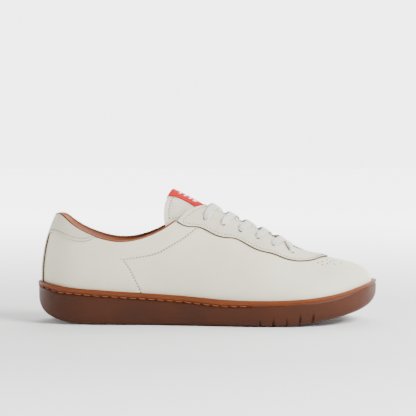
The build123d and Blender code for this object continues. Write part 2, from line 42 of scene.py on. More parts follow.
FEATHER_INSET = 4.6
OVERLAY = 1.35
LEATHER = 1.3              # vamp and quarters, as drawn
STAY_RISE = 1.75           # the eyestay's face above the form
HOLE_R, VENT_R = 2.1, .85

# outline of the sole seen from above, heel to toe along each side
HEEL, TIP = (-150, 0), (150, 8.5)
OUTER = [(-146.5, -13), (-139, -23.5), (-127, -31.5), (-108, -36), (-82, -37.5), (-55, -38.5), (-28, -41.5),
         (0, -46), (28, -50.5), (54, -53), (78, -52.3), (99, -47.6), (117, -39.5), (131, -29), (142, -15.5),
         (148.5, -0.5)]
INNER = [(148.6, 17), (142.5, 29.5), (132, 39.5), (118, 47.3), (100, 52), (80, 53), (56, 49.5), (30, 42.5),
         (3, 35.5), (-25, 32.5), (-53, 33.5), (-80, 36), (-106, 36), (-126, 31.5), (-139, 23.5), (-146.5, 13)]

# side view of the sole: X, Z
RIM = [(-152, 35.6), (-140, 34.8), (-125, 32.6), (-105, 30.8), (-60, 27.9), (-20, 25.6), (18, 22.7), (44, 22.3),
       (70, 22.9), (95, 24.8), (115, 27.9), (130, 31.3), (142, 34.2), (152, 35.8)]
BOTTOM = [(-152, 18), (-147, 11.5), (-140, 6.6), (-130, 3.2), (-118, 1.2), (-104, 0.2), (-95, 0), (62, 0),
          (70, 0.3), (79, 1.2), (94, 3.2), (114, 6.8), (130, 10.6), (143, 15.6), (152, 21.5)]
FEATHER_LINE = [(-152, 21.5), (-125, 21.2), (-100, 20.5), (-80, 19.6), (-65, 18.6), (-50, 17.5), (-35, 16.5),
                (-20, 15.5), (-5, 14.4), (10, 13.4), (25, 12.6), (40, 12.2), (55, 12), (70, 12.2), (85, 13.0),
                (100, 14.8), (115, 17.4), (130, 21.0), (152, 25.6)]
# the stitched groove of the cup wall, and the moulded line that carries it on to the toe
STITCH_LINE = [(-153, 30.75), (-148, 30.8), (-144, 30.75), (-140, 30.3), (-134, 28.6), (-118, 26.8), (-103, 25.5),
               (-87, 24.5), (-70, 23.4), (-49, 22.3), (-28, 21), (-8, 19.2), (9, 17.6), (34.5, 17.6), (49, 18.1),
               (69, 18.9), (89, 20.4), (108, 23), (128, 28.3), (141, 31.7), (149, 33)]
STITCH_PITCH = 8.0
STITCH_END = 38.0          # the thread stops here, towards the toe
SIPES = [(44.3, 5.3), (55.6, 5.3), (67.1, 5.7), (78.7, 8.2), (90.0, 8.7)]

# form of the upper at stations along X: ridge height, ridge y, then how the rib's curve leaves the feather edge
# (rise, outward) and how it arrives at the ridge (reach, drop)
FORM = [
    (-152, 128, 0.0, .27, 2.6, 1.02, .40),
    (-125, 128, 0.0, .275, 3.4, 1.04, .395),
    (-100, 127, 0.0, .28, 4.4, 1.07, .38),
    (-80, 126, 0.0, .29, 5.0, 1.08, .36),
    (-65, 125, 0.0, .30, 5.0, 1.03, .30),
    (-50, 123, 0.0, .32, 5.0, .93, .21),
    (-35, 119, 0.0, .35, 5.0, .76, .09),
    (-20, 112.5, 0.0, .38, 5.0, .60, 0.0),
    (-5, 105.3, 0.0, .385, 4.6, .55, 0.0),
    (10, 98.3, 0.3, .39, 4.2, .55, 0.0),
    (25, 91.0, 0.8, .395, 4.0, .56, 0.0),
    (40, 83.6, 1.3, .40, 3.8, .58, 0.0),
    (55, 76.4, 1.8, .42, 3.5, .60, 0.0),
    (70, 68.2, 2.3, .445, 3.2, .61, 0.0),
    (85, 60.4, 2.9, .475, 2.9, .61, 0.0),
    (100, 57.0, 3.6, .51, 2.8, .61, 0.0),
    (152, 57.0, 3.6, .72, 3.6, .61, 0.0),
]
POLE_X = 100.0             # the toe's ribs fan out from the ridge here
TOE_REACH = 36.0
TOE_SLOPE = -0.17
TOE_SPAN = 54.0
HEEL_JOIN, HEEL_REACH = -95.0, 17.0

# edges in the upper's own coordinates. Front: q along the ridge, w 0 at the ridge and 1 at the feather edge.
STAY_LOW = [(-26.9, .408), (-22.1, .431), (-16.3, .433), (-9, .41), (-1.5, .408), (6.8, .422), (15.1, .413),
            (23.6, .388), (31.9, .396), (40.2, .415), (48.5, .415), (57, .403), (65.5, .405), (73.6, .387),
            (84.6, .315), (94.8, .219), (100.6, .12), (103.2, 0)]
THROAT = [(-3, .142), (10, .134), (30, .13), (50, .13), (66, .127), (74, .107), (79.5, .062), (81.5, 0)]
EYELETS = [(72.8, .27), (56.4, .295), (43.1, .28), (27.9, .286), (13.0, .295), (-2.8, .312)]
VENTS = [(90.9, .342), (96.3, .303), (99.8, .337), (100.0, .262), (102.9, .299), (104.6, .242), (102.9, .195),
         (106.9, .304), (106.2, .185), (105.4, .128), (110.2, .242)]
# rear: u along the feather edge from the middle of the heel, v 0 at the feather edge and 1 at the ridge
COLLAR = [(0, .722), (12, .72), (23.6, .708), (41, .64), (56.5, .576), (71.7, .531), (88.7, .505), (103.4, .507),
          (113.8, .521), (124.4, .547), (134.8, .598), (143.3, .662), (151.5, .756), (158.6, .856)]
COLLAR_END = 134.8
# side view lines: X, Z
SEAM_DOWN = [(-50, 5), (-58.1, 27.6), (-61.3, 34.9), (-65.5, 43.3), (-70.7, 51.8), (-75.8, 56.4)]
SEAM_ON = [(-75.8, 56.4), (-64.3, 57.7), (-49.5, 60.2), (-37.1, 65.4), (-24.6, 72.7), (-12, 81.8), (-3, 90.5),
           (8, 103)]
STRIP_HALF = 8.6           # half width of the strip down the back of the heel


class Curve:
    """A natural cubic curve through values at knots."""

    def __init__(self, knots, values):
        knots = np.asarray(knots, float)
        values = np.asarray(values, float)
        n = len(knots)
        h = np.diff(knots)
        left = np.eye(n)
        right = np.zeros((n, n))
        for i in range(1, n - 1):
            left[i, i - 1:i + 2] = h[i - 1], 2 * (h[i - 1] + h[i]), h[i]
            right[i, i - 1:i + 2] = 6 / h[i - 1], -6 / h[i - 1] - 6 / h[i], 6 / h[i]
        self.knots, self.values, self.h = knots, values, h
        self.bend = np.linalg.solve(left, right)
        self.moments = np.tensordot(self.bend, values, 1)

    def weights(self, t):
        i = np.clip(np.searchsorted(self.knots, t) - 1, 0, len(self.h) - 1)
        h = self.h[i]
        a = (self.knots[i + 1] - t) / h
        b = 1 - a
        return i, a, b, (a**3 - a) * h * h / 6, (b**3 - b) * h * h / 6

    def __call__(self, t):
        t = np.asarray(t, float)
        i, *parts = self.weights(t)
        a, b, c, d = (p.reshape(t.shape + (1,) * (self.values.ndim - 1)) for p in parts)
        return a * self.values[i] + b * self.values[i + 1] + c * self.moments[i] + d * self.moments[i + 1]


def table(rows):
    """Smooth functions of the first column, held level beyond its ends."""
    rows = np.array(rows, float)
    curve = Curve(rows[:, 0], rows[:, 1:])
    return lambda x: curve(np.clip(x, rows[0, 0], rows[-1, 0]))


def lengths(points, power=1.0):
    """Distance along a run of points from its start, or the sum of a power of its steps."""
    return np.r_[0, np.cumsum(np.linalg.norm(np.diff(points, axis=0), axis=1) ** power)]


def ease(x):
    """0 to 1, level at both ends."""
    x = np.clip(x, 0, 1)
    return x * x * (3 - 2 * x)


def closed_outline(count=1600):
    points = np.array([HEEL] + OUTER + [TIP] + INNER, float)
    wrap = 4
    run = np.vstack([points[-wrap:], points, points[:wrap + 1]])
    knots = lengths(run)
    return Curve(knots, run)(np.linspace(knots[wrap], knots[wrap + len(points)], count + 1))


def inward_of(line):
    """Directions into a closed outline, square to it."""
    along = np.gradient(line, axis=0)
    along[0] = along[-1] = line[1] - line[-2]
    along /= np.linalg.norm(along, axis=1)[:, None]
    return np.stack([-along[:, 1], along[:, 0]], 1)


def inset(line, distance):
    """A closed outline moved inwards."""
    return line + inward_of(line) * distance


OUTLINE = closed_outline()
FEATHER = inset(OUTLINE, FEATHER_INSET)
TIP_INDEX = int(np.argmax(FEATHER[:, 0]))
TIP_X, TIP_Y = FEATHER[TIP_INDEX]
HEEL_X = FEATHER[:, 0].min()
rim_z, bottom_z = table(RIM), table(BOTTOM)
feather_z, stitch_z, form = table(FEATHER_LINE), table(STITCH_LINE), table(FORM)
collar_v = table(COLLAR)


def side_y(line, x, side):
    """y of an outline at x, on the outer (-1) or the inner (+1) side."""
    half = line[:TIP_INDEX + 1] if side < 0 else line[TIP_INDEX:]
    order = np.argsort(half[:, 0])
    return np.interp(x, half[order, 0], half[order, 1])


def rib(x, side, t, turn=None):
    """Points of the rib that stands on the feather edge at x; turn is its angle round the toe, 0 at the tip."""
    if turn is not None:
        x = POLE_X + (TIP_X - POLE_X) * np.cos(turn)
    ridge, middle, rise, outward, reach, drop = form(x)
    y = side_y(FEATHER, x, side)
    if abs(x - TIP_X) < 1e-6:
        y = TIP_Y
    if x - HEEL_X < 1e-6:
        y = 0.0
    foot = np.array([x, y, feather_z(x)[0]])
    top_x = x
    if x < HEEL_JOIN:
        top_x = HEEL_JOIN - HEEL_REACH * (1 - np.exp((x - HEEL_JOIN) / HEEL_REACH))
    if turn is not None:
        top_x = POLE_X
        ridge, middle = form(POLE_X)[:2]
    top = np.array([top_x, middle, ridge])
    away = (foot - top) * (1, 1, 0)
    span = np.linalg.norm(away)
    away /= span
    height = top[2] - foot[2]
    first = foot + away * outward + np.array([0, 0, rise * height])
    second = top + away * reach * span - np.array([0, 0, drop * height])
    if turn is not None:
        half = abs(side_y(FEATHER, POLE_X, side) - middle)
        level = TOE_REACH * np.cos(turn)
        second = top + np.array([level, side * form(POLE_X)[4] * half * np.sin(turn), TOE_SLOPE * level])
    t = np.asarray(t)[:, None]
    return (1 - t)**3 * foot + 3 * t * (1 - t)**2 * first + 3 * t * t * (1 - t) * second + t**3 * top


class Form:
    """A smooth surface through rows of points, with outward normals."""

    def __init__(self, rows, columns, points, outward):
        self.along = Curve(rows, points)
        self.across = Curve(columns, np.zeros(len(columns)))
        self.outward = outward
        self.limits = rows[0], rows[-1], columns[0], columns[-1]

    def __call__(self, a, b):
        a, b = np.broadcast_arrays(np.asarray(a, float), np.asarray(b, float))
        shape = a.shape
        rows = self.along(a.ravel())
        bends = np.einsum("ij,njk->nik", self.across.bend, rows)
        i, *parts = self.across.weights(b.ravel())
        n = np.arange(len(rows))
        p, q, r, s = (part[:, None] for part in parts)
        points = p * rows[n, i] + q * rows[n, i + 1] + r * bends[n, i] + s * bends[n, i + 1]
        return points.reshape(shape + (3,))

    def normal(self, a, b):
        a0, a1, b0, b1 = self.limits
        a = np.clip(a, a0 + .8, a1 - .8)
        b = np.clip(b, b0 + .015, b1 - .015)
        n = np.cross(self(a + .05, b) - self(a - .05, b), self(a, b + .002) - self(a, b - .002)) * self.outward
        return n / np.linalg.norm(n, axis=-1, keepdims=True)

    def at(self, a, b, offset=0.0):
        return self(a, b) + self.normal(a, b) * np.asarray(offset, float)[..., None]


def front_form():
    stations = np.arange(-95.0, POLE_X + 1, 7.5)
    columns = np.linspace(-1, 1, 17)
    rows = [np.vstack([rib(x, -1, 1 + columns[columns <= 0]), rib(x, 1, 1 - columns[columns > 0])])
            for x in stations]
    fan = np.array([.12, .24, .36, .48, .61, .74, .87, 1.0])
    for s in fan:
        row = []
        for w in columns:
            dx = s * np.sqrt(1 - w * w / 2)
            dy = w * np.sqrt(1 - s * s / 2)
            row.append(rib(None, -1 if w <= 0 else 1, [1 - np.hypot(dx, dy)], np.arctan2(abs(dy), dx))[0])
        rows.append(np.array(row))
    return Form(np.r_[stations, POLE_X + TOE_SPAN * fan], columns, np.array(rows), 1)


def feather_lengths(stations, side):
    """Distance along the feather edge from the middle of the heel to each station."""
    x = np.r_[HEEL_X, stations]
    fine = np.concatenate([np.linspace(a, b, 30, endpoint=False) for a, b in zip(x[:-1], x[1:])] + [x[-1:]])
    y = np.r_[0.0, side_y(FEATHER, fine[1:], side)]
    return lengths(np.stack([fine, y], 1))[::30][1:]


def rear_form():
    stations = np.r_[-143.4, -138, -130, -120, -108, np.arange(-95.0, 26, 7.5)]
    columns = np.linspace(0, .89, 12)
    rows = [rib(x, -1, columns) for x in stations[::-1]]
    rows.append(rib(HEEL_X, -1, columns))
    rows += [rib(x, 1, columns) for x in stations]
    places = np.r_[-feather_lengths(stations, -1)[::-1], 0, feather_lengths(stations, 1)]
    return Form(places, columns, np.array(rows), -1)


FRONT = front_form()
REAR = rear_form()


def mesh(a0, a1, na, b0, b1, nb):
    """A grid of two coordinates, as an array of each."""
    return np.meshgrid(np.linspace(a0, a1, na), np.linspace(b0, b1, nb), indexing="ij")


def foam_depth(u, s):
    """Thickness of the collar's padding; s runs from the collar edge down."""
    swell = np.sin(np.pi * np.clip(s, 0, 1) ** .62) ** .8
    return 4.4 * ease((COLLAR_END - 4 - np.abs(u)) / 40) * swell


# the tongue, in the front form's coordinates
TONGUE_TOP = [(0, -30.5), (.06, -31.4), (.13, -34.0), (.20, -36.6), (.30, -38.4), (.40, -37.6), (.46, -36)]
TONGUE_HALF = [(-38, .425), (-20, .415), (-8, .37), (4, .36), (25, .355), (50, .345), (70, .315), (88, .275)]
TONGUE_END = 87.0
TONGUE_LEVEL = [(-38, -2.4), (-28, -2.6), (-14, -4.4), (0, -5.8), (20, -5.9), (58, -5.8), (74, -5.5), (80, -4.2),
                (88, -3.4)]
tongue_top, tongue_half, tongue_level = table(TONGUE_TOP), table(TONGUE_HALF), table(TONGUE_LEVEL)


def tongue_spot(s, t):
    """Place on the front form: s runs from the tongue's top edge to its toe end, t across it."""
    start = tongue_top(np.abs(t) * .425)[..., 0]
    q = start + (TONGUE_END - start) * s
    return q, t * tongue_half(q)[..., 0]


def tongue_offset(q, w):
    """Level of the tongue's outer face: it rises between the flaps and is tucked in behind the collar's ends."""
    level = tongue_level(q)[..., 0]
    swell = np.exp(-(w / .085)**2) * np.clip((66 - q) / 20, 0, 1)
    tuck = ease(np.clip((np.abs(w) - .20) / .12, 0, 1) * np.clip((q + 41) / 6, 0, 1))
    rise = np.clip(.28 + .72 * (q + 28) / 18, .28, 1)
    return level + 2.5 * rise * swell - np.clip(level + 4.3, 0, 9) * tuck


def padding(s, t):
    """Fill of the tongue, thin at its edges."""
    ends = np.clip(np.minimum(s / .08, (1 - s) / .16), 0, 1)
    sides = np.clip((1 - np.abs(t)) / .22, 0, 1)
    return .45 + 3.6 * np.sqrt(ends * (2 - ends)) * np.sqrt(sides * (2 - sides))


# ---------------------------------------------------------------- places on the form
SIDES = {-1: "lateral", 1: "medial"}
_x = np.linspace(-94, 24, 240)
_w = np.linspace(0, 1, 320)
U_OF = {side: (_x, np.interp(_x, REAR(side * np.linspace(60, 188, 900), 0.0)[:, 0], np.linspace(60, 188, 900)))
        for side in SIDES}
Z_OF = {side: FRONT(_x[:, None], side * _w[None, :])[..., 2] for side in SIDES}


def u_at(x, side):
    """Distance along the feather edge at x, positive on both sides."""
    return np.interp(x, *U_OF[side])


def w_at(x, z, side):
    """How far down from the ridge the form is at height z, at x."""
    row = Z_OF[side][int(np.argmin(np.abs(_x - x)))]
    return float(np.interp(-z, -row, _w))


def spread(rows, count):
    """Even steps along a run of points, smooth through them."""
    rows = np.asarray(rows, float)
    knots = lengths(rows * (1, 70))
    return Curve(knots, rows)(np.linspace(0, knots[-1], count))


def lerp_rows(rows, parts):
    """Points between the rows, with so many steps in each part."""
    out = [rows[0]]
    for a, b, n in zip(rows[:-1], rows[1:], parts):
        out += [a + (b - a) * k / n for k in range(1, n + 1)]
    return np.array(out)


def ripple(points, size, seed=0.0):
    """Smooth unevenness, about -1 to 1, whose waves are so many millimetres long."""
    shift = Vector((seed, seed * .7, -seed))
    flat = points.reshape(-1, 3) / size
    return np.array([noise.noise(Vector(p) + shift) for p in flat]).reshape(points.shape[:-1])


# ---------------------------------------------------------------- meshes
def quads(n, m, base=0, wrap=False):
    """Faces of a grid of n by m points, closed round its n rows if it wraps."""
    i, j = np.meshgrid(np.arange(n if wrap else n - 1), np.arange(m - 1), indexing="ij")
    a, b = i * m + j, (i + 1) % n * m + j
    return (np.stack([a, b, b + 1, a + 1], -1).reshape(-1, 4) + base).tolist()


def show(name, me, bevel, body):
    """Puts a mesh in the scene as a smooth piece, with its sharp edges rounded."""
    me.polygons.foreach_set("use_smooth", [True] * len(me.polygons))
    me.update()
    obj = bpy.data.objects.new(name, me)
    bpy.context.scene.collection.objects.link(obj)
    if bevel:
        mod = obj.modifiers.new("edge", "BEVEL")
        mod.width, mod.segments, mod.limit_method, mod.angle_limit = bevel * MM, 2, "ANGLE", math.radians(50)
    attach(obj, body)
    return obj


def make(name, verts, faces, mats, body, face_mat=None, uv=None, bevel=0.0, merge=0.0):
    """A shown piece from points in millimetres."""
    me = bpy.data.meshes.new(name)
    me.from_pydata((np.asarray(verts) * MM).tolist(), [], faces)
    for mat in mats:
        me.materials.append(mat)
    if face_mat is not None:
        me.polygons.foreach_set("material_index", np.asarray(face_mat, np.int32))
    if uv is not None:
        layer = me.uv_layers.new(name="UVMap")
        loops = np.zeros(len(me.loops), np.int32)
        me.loops.foreach_get("vertex_index", loops)
        layer.data.foreach_set("uv", np.asarray(uv, np.float32)[loops].ravel())
    bm = bmesh.new()
    bm.from_mesh(me)
    if merge:
        bmesh.ops.remove_doubles(bm, verts=bm.verts, dist=merge * MM)
    bmesh.ops.recalc_face_normals(bm, faces=bm.faces)
    bm.to_mesh(me)
    bm.free()
    return show(name, me, bevel, body)


def closed_sheet(outer, inner):
    """Points, faces and face kinds (0 outside, 1 edge, 2 inside) of a closed sheet between two grids."""
    n, m = outer.shape[:2]
    verts = np.vstack([outer.reshape(-1, 3), inner.reshape(-1, 3)])
    top = quads(n, m)
    base = [f[::-1] for f in quads(n, m, n * m)]
    loop = list(range(m)) + [i * m + m - 1 for i in range(1, n)]
    loop += [(n - 1) * m + j for j in range(m - 2, -1, -1)] + [i * m for i in range(n - 2, 0, -1)]
    rim = [[a, b, b + n * m, a + n * m] for a, b in zip(loop, loop[1:] + loop[:1])]
    kinds = [0] * len(top) + [2] * len(base) + [1] * len(rim)
    return verts, top + base + rim, kinds


def sheet_piece(name, outer, inner, mats, body, bevel=0.3, merge=0.0):
    """A closed sheet, with a material for its outside, its edge and its inside."""
    verts, faces, kinds = closed_sheet(outer, inner)
    return make(name, verts, faces, mats, body, kinds, bevel=bevel, merge=merge)


def tube_rows(path, frames, across, up, sides=12, power=2.6):
    """Rings of a band: half width and half height at each point, between an ellipse and a box in section."""
    angle = np.linspace(0, 2 * np.pi, sides, endpoint=False)
    c, s = np.cos(angle), np.sin(angle)
    c = np.sign(c) * np.abs(c) ** (2 / power)
    s = np.sign(s) * np.abs(s) ** (2 / power)
    wide, tall = frames
    return (path[:, None] + wide[:, None] * (across[:, None] * c)[..., None]
            + tall[:, None] * (up[:, None] * s)[..., None])


def band_mesh(rings):
    """Points and faces of a tube through rings of points, with both ends closed."""
    n, m = rings.shape[:2]
    faces = []
    for i in range(n - 1):
        faces += [[i * m + j, i * m + (j + 1) % m, (i + 1) * m + (j + 1) % m, (i + 1) * m + j] for j in range(m)]
    faces.append(list(range(m))[::-1])
    faces.append([(n - 1) * m + j for j in range(m)])
    return rings.reshape(-1, 3), faces


class Heap:
    """Many small meshes put together as one."""

    def __init__(self):
        self.verts, self.faces, self.kinds, self.base = [], [], [], 0

    def add(self, verts, faces, kinds=()):
        self.verts.append(verts.reshape(-1, 3))
        self.faces += [[k + self.base for k in face] for face in faces]
        self.kinds += kinds
        self.base += len(self.verts[-1])

    def mesh(self):
        return np.vstack(self.verts), self.faces


def unit(v):
    return v / np.maximum(np.linalg.norm(v, axis=-1, keepdims=True), 1e-9)


def resample(path, step):
    """Points at even steps along a path."""
    along = lengths(path)
    marks = np.arange(0, along[-1], step)
    return np.stack([np.interp(marks, along, path[:, k]) for k in range(path.shape[1])], 1)


def stitch_row(heap, path, normals, length=1.25, radius=.34, lift=.12):
    """Thread stitches along a line: small capsules whose ends sink into the leather."""
    step, pitch = .25, 2.75
    both = resample(np.hstack([path, normals]), step)
    reach = int(length / step)
    for start in range(0, len(both) - reach - 1, int(pitch / step)):
        a, b = both[start, :3], both[start + reach, :3]
        up = unit(both[start + reach // 2, 3:])
        way = unit(b - a)
        side = np.cross(up, way)
        t = np.array([0, .12, .35, .65, .88, 1.0])
        fat = np.array([.35, .8, 1, 1, .8, .35]) * radius
        rise = np.array([-.30, -.05, .06, .06, -.05, -.30]) * 1.1 + lift
        centre = a + (b - a) * t[:, None] + up * rise[:, None]
        rings = tube_rows(centre, (np.tile(side, (6, 1)), np.tile(up, (6, 1))), fat, fat, 6, 2.0)
        heap.add(*band_mesh(rings))


def seam_dip(points, lines, depth, width):
    """How far the leather is pulled down beside the given lines."""
    every = np.vstack(lines)
    flat = points.reshape(-1, 3)
    near = np.full(len(flat), 1e9)
    for k in range(0, len(every), 400):
        chunk = every[k:k + 400]
        d = ((flat[:, None] - chunk[None]) ** 2).sum(-1).min(1)
        near = np.minimum(near, d)
    return (-depth * np.exp(-near / width**2)).reshape(points.shape[:-1])


# ---------------------------------------------------------------- materials
class Graph:
    """Adds nodes to the node tree of a material or of the world."""

    def __init__(self, owner):
        owner.use_nodes = True
        self.tree = owner.node_tree

    def feed(self, node, inputs):
        for key, value in inputs.items():
            if isinstance(value, bpy.types.NodeSocket):
                self.tree.links.new(value, node.inputs[key])
            else:
                node.inputs[key].default_value = value

    def add(self, kind, inputs=None, **settings):
        node = self.tree.nodes.new("ShaderNode" + kind)
        for key, value in settings.items():
            setattr(node, key, value)
        self.feed(node, inputs or {})
        return node


class Nodes(Graph):
    """A procedural material under construction."""

    def __init__(self, name):
        self.mat = bpy.data.materials.new(name)
        super().__init__(self.mat)
        self.shader = self.tree.nodes["Principled BSDF"]
        self.place = self.add("TexCoord")

    def spot(self, source="Object"):
        return self.add("Mapping", {"Vector": self.place.outputs[source]}).outputs["Vector"]

    def noise(self, scale, detail=3.0, rough=.5):
        return self.add("TexNoise", {"Vector": self.spot(), "Scale": scale, "Detail": detail,
                                     "Roughness": rough}).outputs["Fac"]

    def cells(self, scale):
        return self.add("TexVoronoi", {"Vector": self.spot(), "Scale": scale},
                        feature="DISTANCE_TO_EDGE").outputs["Distance"]

    def ramp(self, value, stops):
        node = self.add("ValToRGB", {"Fac": value})
        ramp = node.color_ramp
        while len(ramp.elements) < len(stops):
            ramp.elements.new(.5)
        for element, (at, colour) in zip(ramp.elements, stops):
            element.position = at
            element.color = (*colour, 1)
        return node.outputs["Color"]

    def math(self, operation, a, b):
        return self.add("Math", {0: a, 1: b}, operation=operation).outputs[0]

    def span(self, value, low, high):
        return self.add("MapRange", {"Value": value, "To Min": low, "To Max": high}).outputs[0]

    def bump(self, height, distance, strength=1.0, under=None):
        inputs = {"Height": height, "Distance": distance, "Strength": strength}
        if under is not None:
            inputs["Normal"] = under
        return self.add("Bump", inputs).outputs["Normal"]

    def finish(self, colour, rough, normal, **sockets):
        self.feed(self.shader, {"Base Color": colour, "Roughness": rough, "Normal": normal})
        self.feed(self.shader, {key.replace("_", " "): value for key, value in sockets.items()})
        return self.mat


def lin(colour):
    """A screen colour (0 to 255) as linear light."""
    return tuple(((c / 255 + .055) / 1.055) ** 2.4 if c > 10 else c / 255 / 12.92 for c in colour)


def leather(name, light, dark, grain, depth, rough):
    n = Nodes(name)
    tone = n.ramp(n.noise(28, 4), [(.3, lin(dark)), (.7, lin(light))])
    pebble = n.cells(grain)
    fine = n.noise(grain * 3.2, 3)
    creases = n.noise(95, 4, .6)
    normal = n.bump(n.span(pebble, 0, 1), depth, .8)
    normal = n.bump(fine, depth * .35, .6, normal)
    normal = n.bump(creases, .00035, .35, normal)
    return n.finish(tone, n.span(n.noise(160, 4), rough - .07, rough + .09), normal,
                    Specular_IOR_Level=.34)


def rubber(name, light, dark, rough):
    n = Nodes(name)
    tone = n.ramp(n.noise(22, 5, .6), [(.25, lin(dark)), (.75, lin(light))])
    speck = n.noise(1700, 2)
    normal = n.bump(speck, .00006, .5)
    normal = n.bump(n.noise(140, 4), .00025, .3, normal)
    return n.finish(tone, n.span(n.noise(90, 5), rough - .08, rough + .10), normal,
                    Specular_IOR_Level=.22)


def woven(name, light, dark, pitch, source="Object", rough=.85, depth=.00022, sheen=.2):
    """Plain weave: two crossing sets of threads."""
    n = Nodes(name)
    at = n.spot(source=source)
    one, two, three = (n.add("TexWave", {"Vector": at, "Scale": pitch, "Distortion": .6, "Detail": 1.0},
                             bands_direction=axis).outputs["Fac"] for axis in "XYZ")
    weave = n.math("MULTIPLY", one, n.math("ADD", two, .2))
    if source == "Object":
        weave = n.math("MULTIPLY", weave, n.math("ADD", three, .4))
    mixed = n.math("ADD", n.math("MULTIPLY", weave, .55), n.math("MULTIPLY", n.noise(60, 4), .6))
    tone = n.ramp(mixed, [(.15, lin(dark)), (.65, lin(light))])
    normal = n.bump(weave, depth, .9)
    normal = n.bump(n.noise(2600, 2), .00005, .5, normal)
    return n.finish(tone, rough, normal, Sheen_Weight=sheen, Sheen_Roughness=.5, Specular_IOR_Level=.22)


def matte(name, light, dark, scale, rough=.8, depth=.0002):
    """Suede, foam, cut edges: a mottled matt surface."""
    n = Nodes(name)
    tone = n.ramp(n.noise(scale, 5, .65), [(.3, lin(dark)), (.7, lin(light))])
    return n.finish(tone, rough, n.bump(n.noise(scale * 4, 4, .7), depth, .8), Specular_IOR_Level=.2)


M = {
    "smooth": leather("smooth_leather", (226, 220, 196), (218, 211, 186), 1300, .0003, .42),
    "pebble": leather("pebbled_leather", (227, 221, 199), (216, 209, 184), 850, .0012, .50),
    "edge": matte("cut_leather_edge", (104, 86, 66), (78, 64, 48), 900, .85),
    "inside": matte("leather_back", (190, 178, 160), (168, 154, 136), 500, .9),
    "gum": rubber("gum_rubber_wall", (68, 30, 8), (53, 23, 6), .5),
    # the rim is a lighter copy of the wall's gum: a painted highlight along its rounded top
    "band": rubber("gum_rubber_rim_painted_highlight", (112, 54, 18), (90, 42, 14), .48),
    "tread": rubber("gum_rubber_tread", (74, 37, 15), (60, 29, 12), .65),
    "thread": woven("sole_thread", (150, 78, 34), (100, 50, 20), 900, rough=.6, depth=.0001),
    "stitch": woven("upper_thread", (96, 84, 64), (66, 56, 42), 1500, rough=.7, depth=.00006),
    "tan": leather("tan_lining_leather", (138, 80, 44), (112, 60, 32), 1400, .00012, .5),
    "lining": woven("lining_textile", (176, 130, 96), (140, 98, 70), 520),
    "sock": woven("sock_cover_textile", (170, 122, 88), (136, 94, 66), 420),
    "sock_foam": matte("sock_foam", (70, 66, 62), (52, 50, 48), 700, .95),
    "board": matte("fibre_board", (205, 192, 168), (182, 168, 144), 500, .9),
    "eva": matte("midsole_eva", (226, 222, 212), (208, 204, 194), 600, .85),
    "stiff": matte("stiffener", (214, 206, 190), (196, 188, 172), 300, .6),
    "red": woven("red_label_weave", (196, 0, 4), (150, 0, 2), 1100, rough=.6, depth=.00008, sheen=.0),
    "white_print": woven("white_label_weave", (240, 236, 232), (222, 212, 208), 1100, rough=.6, depth=.00008),
    "lace": woven("lace_weave", (236, 232, 222), (196, 190, 176), 900, source="UV", rough=.75, depth=.00016),
    # painted shade: dark disks stand for the shaded insides of the punched holes
    "dark": matte("hole_painted_shade", (60, 48, 38), (44, 34, 28), 400, .95),
}


# ---------------------------------------------------------------- sole
def cup_profile(x, zb, zs, zt):
    """Section of the cup wall, outside bottom to inside rim: inset from the outline, height."""
    groove = np.where(x < STITCH_END, 1.0, .42)
    rows = [(8.6, zb), (6.2, zb), (4.2, zb + .1), (2.8, zb + .5), (1.7, zb + 1.3), (1.0, zb + 2.4),
            (.55, zb + 3.8)]
    for k in (.30, .48, .66, .84):
        rows.append((.35 * (1 - k) + .02, zb + (zs - 1.4 - zb) * k + .6))
    rows += [(.10, zs - 1.25), (.28 * groove, zs - .95), (1.05 * groove, zs - .75), (1.35 * groove, zs - .15),
             (1.25 * groove, zs + .5), (.7 * groove, zs + .85), (.05, zs + 1.0), (-.28, zs + 1.5)]
    for k in (.3, .55, .75, .88):
        rows.append((-.35 + 1.2 * max(k - .5, 0) ** 1.6, zs + 1.5 + (zt - zs - 1.5) * k))
    rows += [(.55, zt - .35), (1.1, zt - .08), (1.8, zt), (2.6, zt - .1), (3.3, zt - .4), (4.4, zt - 1.1),
             (5.6, zt - 2.0), (5.8, zt - 4), (5.8, zb * .5 + zt * .5), (5.8, zb + 5)]
    return [np.stack([np.broadcast_to(a, len(zb)), b], 1) for a, b in rows]


def tread_depth(p):
    """Zigzag grooves of the outsole."""
    phase = np.abs((p[:, 1] / 12.0 + 100) % 2 - 1)
    shift = 3.5 * (2 * phase - 1)
    d = np.abs((p[:, 0] - shift + 4) % 10 - 5)
    return 1.6 * np.clip((1.35 - d) / .45, 0, 1)


def ground(x):
    """Height of the sole's bottom, which never goes below the floor."""
    return np.maximum(bottom_z(x)[:, 0], 0)


def to_spine(x):
    """Points of the middle line under the ridge that the sole's rings close in on."""
    x = np.clip(x, -112, 100)
    return np.stack([x, form(x)[:, 1]], 1)


